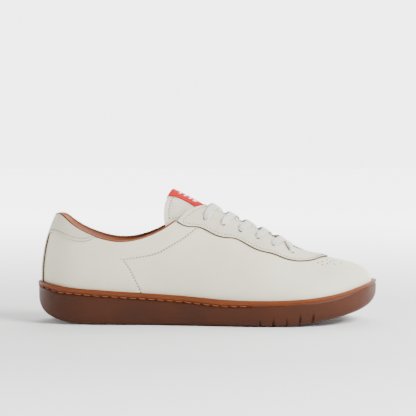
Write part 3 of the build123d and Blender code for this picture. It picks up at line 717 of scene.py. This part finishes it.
def build_cup():
    line, inward = OUTLINE[:-1], inward_of(OUTLINE)[:-1]
    x = line[:, 0]
    zb = ground(x)
    profile = cup_profile(x, zb, stitch_z(x)[:, 0], rim_z(x)[:, 0])
    cut = np.zeros(len(x))
    top = np.zeros(len(x))
    for sx, height in SIPES:
        near = np.clip((1.15 - np.abs(x - sx)) / .45, 0, 1)
        cut = np.maximum(cut, near)
        top = np.where(np.abs(x - sx) < 3, height, top)
    rows = []
    spine = to_spine(x)
    start = line + inward * profile[0][:, :1]
    bottom_rows, wall_rows, bevel_rows = 56, 13, 7
    for k in np.linspace(0, 1, bottom_rows):
        p = spine + (start - spine) * k
        z = ground(p[:, 0]) + tread_depth(p) * np.clip((1 - k) / .02, 0, 1)
        rows.append(np.column_stack([p, z]))
    for j, section in enumerate(profile[1:], 1):
        if j < bevel_rows:
            lift = ground((line + inward * section[:, :1])[:, 0]) - zb
            section = section + np.stack([np.zeros_like(lift), lift], 1)
        deep = 1.9 * cut * np.clip((top + .4 - section[:, 1]) / .8, 0, 1)
        inset_by = section[:, 0] + np.where(section[:, 0] < 3, deep, 0)
        rows.append(np.column_stack([line + inward * inset_by[:, None], section[:, 1]]))
    wall = rows[-1][:, :2]
    for k in (.75, .5, .25, 0.0):
        p = spine + (wall - spine) * k
        rows.append(np.column_stack([p, ground(p[:, 0]) + 5]))
    grid = np.stack(rows, 1)
    n, m = grid.shape[:2]
    # faces from the stitched groove up take the lighter rim gum, a painted highlight; the wall below takes the
    # darker gum
    kinds = [2 if j <= bottom_rows else 0 if j < bottom_rows + wall_rows else 1 for j in range(m - 1)] * n
    cup = make("cup_sole", grid.reshape(-1, 3), quads(n, m, wrap=True), [M["gum"], M["band"], M["tread"]], "shoe",
               kinds, merge=.004)
    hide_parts("cupsole")


def build_sole_thread():
    """Long stitches lying in the groove of the cup wall, on both sides and round the heel."""
    path = inset(OUTLINE, .42)
    path = np.vstack([path[TIP_INDEX + 8:-1], path[:TIP_INDEX - 8]])[::-1]
    path = np.column_stack([path, stitch_z(path[:, 0])[:, 0] + .05])
    step = .4
    path = resample(path, step)
    heap = Heap()
    for start in range(0, len(path) - 20, int(STITCH_PITCH / step)):
        run = path[start:start + 15]
        if run[:, 0].max() > STITCH_END:
            continue
        way = unit(run[-1] - run[0])
        out = unit(np.cross((0, 0, 1), way))
        if np.dot(out, run[7] * (1, 1, 0)) < 0:
            out = -out
        t = np.linspace(-1, 1, 15)
        run = run + out * (.30 - 1.0 * np.abs(t[:, None]) ** 4) + np.array([0, 0, .10]) * t[:, None]
        fat = .46 * np.clip(1.15 - np.abs(t) ** 5, .5, 1)
        up = np.cross(way, out)
        heap.add(*band_mesh(tube_rows(run, (np.tile(out, (15, 1)), np.tile(up, (15, 1))), fat, fat, 8, 2.0)))
    piece = make("sole_stitching", *heap.mesh(), [M["thread"]], "shoe")
    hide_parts("sidewall_stitching")


# ---------------------------------------------------------------- upper
def stay_curves():
    runs = []
    for rows in (THROAT, STAY_LOW):
        rows = np.array(rows)
        rows = np.vstack([rows * (1, -1), rows[-2::-1]])
        knots = lengths(rows * (1, 80))
        runs.append(Curve(knots / knots[-1], rows))
    return runs


STAY_IN, STAY_OUT = stay_curves()


def stay_place(s, t):
    """Place on the front form: s runs round the eyestay, t from its throat to its low edge."""
    inner, outer = STAY_IN(s), STAY_OUT(s)
    place = inner + (outer - inner) * np.asarray(t)[..., None]
    return place[..., 0], place[..., 1]


def line_on(surface, a, b, offset):
    """Points above a form, and its normals there."""
    return surface.at(a, b, offset), surface.normal(a, b)


def stay_lines(offset):
    """Stitch lines of the eyestay: beside its low edge, its ankle edges and the throat."""
    s = np.linspace(0.012, .988, 500)
    low = stay_place(s, 1 - 2.0 / stay_width(s))
    throat = stay_place(s, 2.0 / stay_width(s))
    lines = [line_on(FRONT, *low, offset), line_on(FRONT, *throat, offset)]
    for end in (.012, .988):
        t = np.linspace(.1, .93, 60)
        lines.append(line_on(FRONT, *stay_place(np.full(60, end), t), offset))
    return lines


def stay_width(s):
    inner, outer = (FRONT(*stay_place(s, k)) for k in (np.zeros_like(s), np.ones_like(s)))
    return np.linalg.norm(outer - inner, axis=-1)


def seam_lines(side, offset):
    """The seam between vamp and quarter, as two lines on the form."""
    lines = []
    for rows in (SEAM_DOWN[1:], SEAM_ON):
        rows = np.array([(x, w_at(x, z, side)) for x, z in spread(rows, 120) if z > 27])
        q, w = rows[rows[:, 1] > .17].T
        lines.append(line_on(FRONT, q, side * w, offset))
    return lines


# side view of the edge where vamp and quarter meet, from its corner: X, Z
SEAM_JOIN = {"on": [(-75.8, 56.4), (-70, 57.15), (-64.3, 57.7), (-57, 58.7), (-49.5, 60.2), (-43, 62.4),
                    (-37.1, 65.4), (-31, 68.8), (-24.6, 72.7), (-18, 77.2), (-12, 81.8), (-7, 86.4), (-3, 90.5)],
             "down": [(-75.8, 56.4), (-73.6, 54.4), (-70.7, 51.8), (-68, 47.8), (-65.5, 43.3), (-61.3, 34.9),
                      (-58.1, 27.6), (-57, 20)]}


def seam_run(part, side, count):
    """Points (q, w) of the seam, evenly spread, the corner first."""
    rows = np.array(SEAM_JOIN[part], float)
    knots = lengths(rows)
    rows = Curve(knots, rows)(np.linspace(0, knots[-1], count))
    return np.array([(x, w_at(x, z, side)) for x, z in rows])


def build_vamp():
    halves = []
    parts = [6, 26, 16, 14, 12, 10, 10, 20]
    for side in SIDES:
        down = seam_run("down", side, 26)
        on = seam_run("on", side, 72)
        foot = np.column_stack([np.linspace(down[-1, 0], -4, 47)[1:], np.ones(46)])
        front_in = lerp_rows(np.array([on[-1], (3, .141), (30, .134), (50, .134), (66, .13), (75, .107),
                                       (79.5, .062), (81.1, .03), (81.5, 0)]), parts)
        front_out = lerp_rows(np.array([(-4, 1), (3, 1), (36, 1), (62, 1), (88, 1), (116, 1), (138, 1), (154, 1),
                                        (154, 0)]), parts)
        halves.append((np.vstack([on, front_in[1:]]), np.vstack([down, foot, front_out[1:]])))
    t = np.linspace(0, 1, 56)[None, :, None]
    flip = np.array([1, -1])
    rows_in, rows_out = (np.vstack([one * flip, two[-2::-1]]) for one, two in zip(*halves))
    place = rows_in[:, None] + (rows_out - rows_in)[:, None] * t
    q, w = place[..., 0], place[..., 1]
    surface = FRONT(q, w)
    lift = .28 * ripple(surface, 26, 3.1) + .10 * ripple(surface, 9, 7.7)
    lift += seam_dip(surface, [line[0] for side in SIDES for line in seam_lines(side, 0.0)], .42, 1.0)
    flex = np.exp(-((q - 88) / 16) ** 2) * np.clip(np.abs(w) - .25, 0, 1)
    lift += flex * .35 * np.sin(q * .55 + 2.2 * ripple(surface, 30, 1.3))
    n = FRONT.normal(q, w)
    vamp = sheet_piece("vamp_leather", surface + n * lift[..., None], surface + n * (lift - LEATHER)[..., None],
                       [M["smooth"], M["edge"], M["inside"]], "shoe", merge=.01)
    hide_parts("vamp")


def quarter_runs(side):
    """Lower and upper edge of a rear panel, matched point by point, in the rear form's coordinates."""
    seam = np.vstack([seam_run("down", side, 26)[::-1], seam_run("on", side, 72)[1:]])
    foot, reach = seam[0, 0], u_at(-88, side)
    low = [(u_at(foot, side) * k, 0) for k in np.linspace(0, 1, 100)]
    low += [(u_at(q, side), 1 - w) for q, w in seam] + [(u_at(3, side), .862)]
    rise = np.interp(np.arange(len(seam)), [0, 25, 40, 60, 75, 88, 97], [-87, -80.5, -68, -50, -30, -18.4, -9])
    high = [reach * k for k in np.linspace(0, 1, 100)] + [u_at(x, side) for x in rise] + [u_at(-3.2, side)]
    return np.array(low, float), np.array([(u, collar_v(u)[0]) for u in high], float)


def build_quarter(side):
    low, high = quarter_runs(side)
    t = np.linspace(0, 1, 46)[None, :, None]
    place = low[:, None] + (high - low)[:, None] * t
    u, v = place[..., 0] * side, place[..., 1]
    surface = REAR(u, v)
    lift = .26 * ripple(surface, 28, 5.3) + .08 * ripple(surface, 8, 2.2)
    lift += seam_dip(surface, [line[0] for line in seam_lines(side, 0.0)], .42, 1.0)
    depth = collar_v(np.abs(u))[..., 0] - v
    lift += .5 * np.exp(-((depth - .13) / .10) ** 2) * np.clip((COLLAR_END - np.abs(u)) / 40, 0, 1)
    n = REAR.normal(u, v)
    name = f"quarter_{SIDES[side]}"
    piece = sheet_piece(name + "_leather", surface + n * lift[..., None],
                        surface + n * (lift - LEATHER)[..., None], [M["smooth"], M["edge"], M["tan"]],
                        "shoe", merge=.01)
    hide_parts(name)


def build_stay():
    """The eyestay, which runs round the throat and carries the lace holes."""
    s, t = mesh(0, 1, 520, 0, 1, 24)
    q, w = stay_place(s, t)
    surface = FRONT(q, w)
    lines = [line[0] for line in stay_lines(0.0)]
    lift = STAY_RISE + .12 * ripple(surface, 18, 9.1) + seam_dip(surface, lines, .35, .9)
    n = FRONT.normal(q, w)
    edge = np.minimum(t, 1 - t) * stay_width(s[:, 0])[:, None]
    lift -= .25 * np.exp(-(edge / .8) ** 2)
    q, w = stay_place(s, -.012 + 1.034 * t)
    base = FRONT.at(q, w, .05)
    stay = sheet_piece("eyestay_leather", surface + n * lift[..., None], base,
                       [M["pebble"], M["edge"], M["inside"]], "shoe", bevel=.22)
    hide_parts("eyestay")


def tab_low_v(u):
    """Lower edge of the heel tab's wings."""
    rows = [(0, .565), (STRIP_HALF, .567), (14, .578), (24, .574), (31, .56), (37.6, .542), (44, .526), (50, .517),
            (56, .521), (60, .533), (63.5, .552), (66, .574)]
    return table(rows)(np.abs(u))[..., 0]


def build_tab():
    """The heel tab with its strip down the back, in one piece."""
    across = np.r_[np.linspace(-63.2, -9.2, 60), np.linspace(-STRIP_HALF, STRIP_HALF, 19),
                   np.linspace(9.2, 63.2, 60)]
    wing = np.linspace(0, 1, 26)
    u, t = np.meshgrid(across, wing, indexing="ij")
    top = collar_v(np.abs(u))[..., 0] + .002
    v = tab_low_v(u) + (top - tab_low_v(u)) * t
    strip_u, strip_t = np.meshgrid(across[60:79], np.linspace(0, 1, 70), indexing="ij")
    strip_v = .10 + (tab_low_v(strip_u) - .10) * strip_t
    lines = tab_lines(0.0)

    def layer(uu, vv):
        surface, n = REAR(uu, vv), REAR.normal(uu, vv)
        lift = OVERLAY + .15 * ripple(surface, 20, 4.4) + seam_dip(surface, [p for p, _ in lines], .3, .9)
        return surface + n * lift[..., None], surface + n * .05

    heap = Heap()
    for place in ((u, v), (strip_u, strip_v)):
        for grid, flip in zip(layer(*place), (1, -1)):
            heap.add(grid, [f[::flip] for f in quads(*grid.shape[:2])])
    tab = bridge_sheet("heel_tab_leather", *heap.mesh(), [M["pebble"], M["edge"]])
    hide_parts("heel_backstay")


def bridge_sheet(name, verts, faces, mats):
    """Closes two matching open sheets along their edges. They come as outer, inner, outer, inner grids."""
    me = bpy.data.meshes.new(name)
    me.from_pydata((verts * MM).tolist(), [], faces)
    bm = bmesh.new()
    bm.from_mesh(me)
    bmesh.ops.remove_doubles(bm, verts=bm.verts, dist=.02 * MM)
    edges = [e for e in bm.edges if e.is_boundary]
    made = bmesh.ops.bridge_loops(bm, edges=edges)
    for f in made["faces"]:
        f.material_index = 1
    bmesh.ops.recalc_face_normals(bm, faces=bm.faces)
    bm.to_mesh(me)
    bm.free()
    for mat in mats:
        me.materials.append(mat)
    return show(name, me, .22, "shoe")


def tab_lines(offset):
    """Stitch lines of the heel tab: inside its lower edge and beside the strip's edges."""
    lines = []
    for side in SIDES:
        u = side * np.linspace(9.5, 62.5, 160)
        lines.append(line_on(REAR, u, tab_low_v(u) + .022, offset))
        v = np.linspace(.14, .585, 120)
        lines.append(line_on(REAR, np.full(120, side * 6.9), v, offset))
    return lines


def build_collar():
    """The padded lining of the collar, and the rolled bead on its edge."""
    end = 141.8
    u, s = mesh(-end, end, 330, 0, 1, 70)
    top = collar_v(np.abs(u))[..., 0]
    start = top + .004
    v = start - start * s ** 1.15
    depth = foam_depth(u, (top - v) / .30)
    surface = REAR(u, v)
    inner_lift = .30 * ripple(surface, 17, 6.6) * np.clip(depth / 2, 0, 1) + .10 * ripple(surface, 6, 2.6)
    creases = np.exp(-((np.abs(u) - 92) / 26) ** 2) * np.exp(-((top - v - .05) / .05) ** 2)
    inner_lift += .8 * creases * np.sin(u * .55 + 3 * ripple(surface, 14, 8.8)) ** 8
    fold = np.exp(-((top - v - .34 - .02 * np.sin(u * .05)) / .02) ** 2)
    inner_lift += .25 * fold * np.clip((118 - np.abs(u)) / 20, 0, 1)
    groove = .9 * np.exp(-((top - v) * 105 / 1.6) ** 2)
    n = REAR.normal(u, v)
    seen = surface + n * (-3.3 - depth * 1.1 + inner_lift + groove * .4)[..., None]
    hidden = surface + n * (-2.2 - depth * .85)[..., None]
    lining = sheet_piece("collar_lining_leather", seen, hidden, [M["tan"], M["tan"], M["tan"]], "shoe", bevel=.3)
    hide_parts("collar_lining", "collar_foam")

    u = np.linspace(-COLLAR_END + 1, COLLAR_END - 1, 420)
    v = collar_v(np.abs(u))[:, 0] + .002
    n = REAR.normal(u, v)
    path = REAR(u, v) - n * 1.7 + np.array([0, 0, .75])
    way = unit(np.gradient(path, axis=0))
    up = unit(np.cross(way, n))
    fat = np.full(len(u), 1.15) + .05 * np.sin(u * .9)
    rings = tube_rows(path, (n, up), fat, fat * .92, 12, 2.0)
    bead = make("collar_bead", *band_mesh(rings), [M["tan"]], "shoe")
    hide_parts("collar_piping")


def build_thread():
    heap = Heap()
    for line in stay_lines(STAY_RISE - .30):
        stitch_row(heap, *line)
    for side in SIDES:
        for line in seam_lines(side, -.35):
            stitch_row(heap, *line, 1.1, .55, .26)
    for line in tab_lines(OVERLAY - .22):
        stitch_row(heap, *line)
    piece = make("upper_stitching", *heap.mesh(), [M["stitch"]], "shoe")


def dot_mesh(centre, normal, radius, rim):
    """A punched hole, drawn as a dark disk of painted shade for its shaded inside, with a soft raised rim."""
    a = unit(np.cross(normal, (.3, .9, .1)))
    b = np.cross(normal, a)
    angle = np.linspace(0, 2 * np.pi, 14, endpoint=False)
    ring = np.cos(angle)[:, None] * a + np.sin(angle)[:, None] * b
    rows = [(0.02, .02), (.80, .03), (.98, .08), (1.12, rim), (1.35, rim * .6), (1.6, -.05)]
    return np.stack([centre + ring * radius * r + normal * h for r, h in rows], 1)


def build_holes():
    for name, places, radius, level, rim, around in (("vent_holes", VENTS, VENT_R, .03, .05, "smooth"),
                                                     ("lace_holes", EYELETS, HOLE_R, STAY_RISE, .12, "pebble")):
        heap = Heap()
        for side in SIDES:
            for q, w in places:
                grid = dot_mesh(FRONT.at(q, side * w, level), FRONT.normal(q, side * w), radius, rim)
                n, m = grid.shape[:2]
                # the two inner rings take the dark painted shade, the outer rings the leather round the hole
                heap.add(grid, quads(n, m, wrap=True), [0, 0, 1, 1, 1] * n)
        piece = make(name, *heap.mesh(), [M["dark"], M[around]], "shoe", heap.kinds)


# ---------------------------------------------------------------- tongue
def build_tongue():
    s, t = mesh(0, 1, 150, -1, 1, 90)
    q, w = tongue_spot(s, t)
    level = tongue_offset(q, w)
    fill = padding(s, t) + .25
    surface, n = FRONT(q, w), FRONT.normal(q, w)
    border = np.minimum((1 - np.abs(t)) * 28, s * 118)
    dip = -.5 * np.exp(-((border - 4.2) / 1.0) ** 2)
    soft = .35 * ripple(surface, 20, 1.9) + .12 * ripple(surface, 7, 3.4)
    top = surface + n * (level - .15 + dip + soft * np.clip(border / 5, 0, 1))[..., None]
    under = surface + n * (level - 2.0 - fill - dip * .4 + soft * .5)[..., None]
    tongue = sheet_piece("tongue_pad", top, under, [M["pebble"], M["edge"], M["tan"]], "tongue", bevel=.5)
    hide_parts("tongue_cover", "tongue_foam", "tongue_lining")
    heap = Heap()
    down = np.linspace(.036, .62, 160)
    runs = [(down, np.full(160, side * (1 - 4.2 / 28))) for side in SIDES]
    runs.append((np.full(120, .036), np.linspace(-.85, .85, 120)))
    for run in runs:
        q, w = tongue_spot(*run)
        stitch_row(heap, *line_on(FRONT, q, w, tongue_offset(q, w) - .40), radius=.36, lift=.14)
    piece = make("tongue_stitching", *heap.mesh(), [M["stitch"]], "tongue")


def build_label():
    """The woven label folds over the tongue's top edge. It carries plain bars only."""
    t = np.linspace(-1, 1, 41)
    front = [(27 - k, .42) for k in np.arange(0, 27.1, .9)]
    fold = [(-.9, .1), (-1.5, -.9), (-1.7, -2.2), (-1.4, -3.4), (-.6, -4.3)]
    back = [(k, -4.8 - k * .22) for k in np.arange(.6, 8, .9)]
    run = np.array(front + fold + back)
    way = unit(np.gradient(run, axis=0))
    out = np.stack([way[:, 1], -way[:, 0]], 1)
    grids = []
    for side in (.34, -.34):
        line = run + out * side
        w = .150 * t
        top = tongue_top(np.abs(w))[:, 0] + 1.0
        q = top[None] + line[:, :1]
        a = np.broadcast_to(w, q.shape)
        level = tongue_offset(np.maximum(q, -34), a)
        soft = .25 * np.sin(a * 60) * np.clip(line[:, :1] / 20, 0, 1)
        grids.append(FRONT.at(q, a, level + .45 + line[:, 1:] + soft))
    verts, faces, _ = closed_sheet(*grids)
    # how far across each printed row of faces reaches
    reach = {7: 27, 8: 27, 9: 27, 12: 22, 13: 22, 17: 30, 18: 30, 22: 25, 23: 25}
    kinds = [int(10 <= j < reach.get(i, 0)) for i in range(len(run) - 1) for j in range(len(t) - 1)]
    kinds += [0] * (len(faces) - len(kinds))
    label = make("tongue_label_weave", verts, faces, [M["red"], M["white_print"]], "tongue", kinds, bevel=.12)
    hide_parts("tongue_label")


# ---------------------------------------------------------------- lace
OVER, UNDER = STAY_RISE + 1.1, -4.1
HIGH, LOW = 1.25, -.35


def lace_route(side, cross):
    """Route of one end of the lace: q, w, offset, half width, half thickness."""
    q, w = EYELETS[0]
    wide, thin, tight, thick = 3.5, .85, 2.3, 1.15
    rows = [(q + 1.5, 0, UNDER, wide, thin), (q + 1.2, side * .14, UNDER, wide, thin),
            (q + .6, side * (w - .045), UNDER, tight, thick), (q, side * w, -.6, tight, thick),
            (q - .5, side * (w - .022), OVER, 3.0, 1.1), (q - 2.6, side * .185, OVER, wide, thin)]
    for k in range(1, len(EYELETS)):
        last, q, w = EYELETS[k - 1][0], *EYELETS[k]
        side = -side
        step = last - q
        rows.append((q + step * .80, -side * .075, (cross + OVER) * .5 if k == 1 else cross - 1.0, wide, thin))
        rows.append((q + step * .66, 0, cross, wide, thin))
        rows.append((q + step * .48, side * .105, OVER - .15, wide, thin))
        rows.append((q + step * .27, side * .195, OVER + .1, wide, thin))
        rows.append((q + step * .07, side * (w - .024), OVER - .05, 3.1, 1.1))
        rows.append((q, side * w, -.6, tight, thick))
        if k < len(EYELETS) - 1:
            rows.append((q - .6, side * (w - .05), UNDER, tight, thick))
            rows.append((q - 2.6, side * .16, UNDER + .1, 2.8, .7))
    rows += [(q - .2, side * (w + .05), UNDER, tight, thick), (q + 1.5, side * .45, UNDER - .35, 2.6, .7),
             (q + 3, side * .56, UNDER - .4, 2.8, .7), (q + 4, side * .68, UNDER - .4, 2.8, .7)]
    return np.array(rows, float)


def build_lace():
    first, second = lace_route(-1, HIGH), lace_route(1, LOW)
    rows = np.vstack([first[:0:-1], second])
    place = FRONT.at(rows[:, 0], rows[:, 1], rows[:, 2])
    data = np.hstack([place, rows[:, 3:]])
    knots = lengths(place, .6)
    step = .55
    smooth = resample(Curve(knots, data)(np.linspace(0, knots[-1], 6000)), step)
    path, wide, tall = smooth[:, :3], smooth[:, 3], smooth[:, 4]
    spots = [grid.ravel() for grid in mesh(-40, 90, 150, -.8, .8, 80)]
    known, known_n = FRONT(*spots), FRONT.normal(*spots)
    way = unit(np.gradient(path, axis=0))
    up = np.zeros_like(path)
    current = known_n[np.argmin(((known - path[0]) ** 2).sum(1))]
    for k, (p, d) in enumerate(zip(path, way)):
        n = known_n[np.argmin(((known - p) ** 2).sum(1))]
        current = current - d * np.dot(current, d)
        current /= np.linalg.norm(current)
        aim = n - d * np.dot(n, d)
        level = np.linalg.norm(aim)
        aim = aim / max(level, 1e-6)
        if np.dot(aim, current) < 0:
            aim = -aim
        current = current + (aim - current) * .35 * max(level - .45, 0)
        current /= np.linalg.norm(current)
        up[k] = current
    m = 16
    verts, faces = band_mesh(tube_rows(path, (np.cross(up, way), up), wide, tall, m, 3.2))
    uv = np.zeros((len(path), m, 2))
    uv[..., 0] = (np.arange(len(path)) * step * MM)[:, None]
    uv[..., 1] = (np.cos(np.linspace(0, 2 * np.pi, m, endpoint=False)) * 3.4 * MM)[None]
    lace = make("lace_band", verts, faces, [M["lace"]], "shoe", uv=uv.reshape(-1, 2))
    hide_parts("shoelace")


# ---------------------------------------------------------------- inside
def build_sock():
    line = inset(FEATHER, 3.1)[:-1:4]
    x = line[:, 0]
    spine = to_spine(x)
    low = feather_z(x)[:, 0] + .3
    rows = [np.column_stack([line, low + 3.25]), np.column_stack([line, low + 3.7]),
            np.column_stack([spine + (line - spine) * .985, low + 4.0])]
    for k in np.linspace(.96, 0, 30):
        p = spine + (line - spine) * k
        z = feather_z(p[:, 0])[:, 0] + 4.3 - .9 * (1 - k ** 4) * np.exp(-((p[:, 0] + 105) / 40) ** 2)
        rows.append(np.column_stack([p, z + .15 * ripple(np.column_stack([p, z]), 16, 3.3)]))
    for k in (0, .5, 1.0):
        p = spine + (line - spine) * k
        rows.append(np.column_stack([p, feather_z(p[:, 0])[:, 0] + .3 + 3.22]))
    grid = np.stack(rows, 1)
    cover = make("sock_cover_cloth", grid.reshape(-1, 3), quads(*grid.shape[:2], wrap=True), [M["sock"]],
                 "sock_liner", merge=.004)
    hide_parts("sock_liner_cover")


def dress_frame():
    """Materials of the CAD nodes that stay as they are."""
    looks = {"midsole_foam": "eva", "insole_board": "board", "sock_liner_foam": "sock_foam",
             "eyestay_backing": "inside", "toe_puff": "stiff", "heel_counter": "stiff", "vamp_lining": "lining",
             "lace_tips": "white_print"}
    for node, look in looks.items():
        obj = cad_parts[node]
        obj.data.materials.clear()
        obj.data.materials.append(M[look])


# ---------------------------------------------------------------- studio
def studio():
    """Light, floor and camera at the photograph's angle."""
    scene = bpy.context.scene
    world = bpy.data.worlds.new("studio")
    scene.world = world
    # light tent: bright low down, dim overhead, and dimmer in front than behind
    sky = Graph(world)
    way = sky.add("SeparateXYZ", {0: sky.add("TexCoord").outputs["Generated"]}).outputs
    band = sky.add("MapRange", {"Value": way["Z"], "From Min": .16, "From Max": .34, "To Min": 4.6, "To Max": .50},
                   interpolation_type="SMOOTHSTEP")
    behind = sky.add("MapRange", {"Value": way["Y"], "From Min": -.6, "From Max": .5, "To Min": .42,
                                  "To Max": 1.0})
    both = sky.add("Math", {0: band.outputs[0], 1: behind.outputs[0]}, operation="MULTIPLY")
    sky.feed(world.node_tree.nodes["Background"], {"Color": (1.0, .995, .985, 1), "Strength": both.outputs[0]})
    n = Nodes("pale_floor_painted_glow")
    floor_mat = n.finish(n.ramp(n.noise(3, 2), [(0, (.90, .90, .895)), (1, (.93, .93, .925))]), .75,
                         n.bump(n.noise(220, 3), .0002, .2))
    # painted light: the floor glows, not at all near the shoe and ever more strongly further off, to brighten the
    # backdrop
    far = n.add("VectorMath", {0: n.spot()}, operation="LENGTH").outputs["Value"]
    glow = n.add("MapRange", {"Value": far, "From Min": .25, "From Max": 1.6, "To Min": 0.0, "To Max": 4.5})
    n.feed(n.shader, {"Emission Strength": glow.outputs[0], "Emission Color": (1, 1, 1, 1)})
    me = bpy.data.meshes.new("floor")
    reach = 6.0
    corners = [(-reach, -reach, 0), (reach, -reach, 0), (reach, reach, 0), (-reach, reach, 0)]
    me.from_pydata(corners, [], [(0, 1, 2, 3)])
    me.materials.append(floor_mat)
    floor = bpy.data.objects.new("floor", me)
    scene.collection.objects.link(floor)
    floor.location = (0, 0, -.0004)
    for name, place, aim, size, power in (("key", (.95, -.55, .95), (.08, 0, .04), .7, 44),
                                          ("fill", (-.9, -.9, .55), (-.05, 0, .05), .9, 2),
                                          ("back", (.2, 1.0, 1.0), (0, 0, .05), 1.2, 20)):
        data = bpy.data.lights.new(name, "AREA")
        data.shape, data.size, data.energy = "SQUARE", size, power
        light = bpy.data.objects.new(name, data)
        scene.collection.objects.link(light)
        light.location = place
        light.rotation_euler = (Vector(aim) - Vector(place)).to_track_quat("-Z", "Y").to_euler()
    camera = bpy.data.cameras.new("camera")
    camera.lens, camera.sensor_width = 126.75, 36.0
    eye = bpy.data.objects.new("camera", camera)
    scene.collection.objects.link(eye)
    eye.location = (0, -1.295, .1633)
    eye.rotation_euler = (math.radians(90 - 2.83), 0, 0)
    scene.camera = eye


build_cup()
build_sole_thread()
build_vamp()
for each_side in SIDES:
    build_quarter(each_side)
build_stay()
build_tab()
build_collar()
build_thread()
build_holes()
build_tongue()
build_label()
build_lace()
build_sock()
dress_frame()
studio()
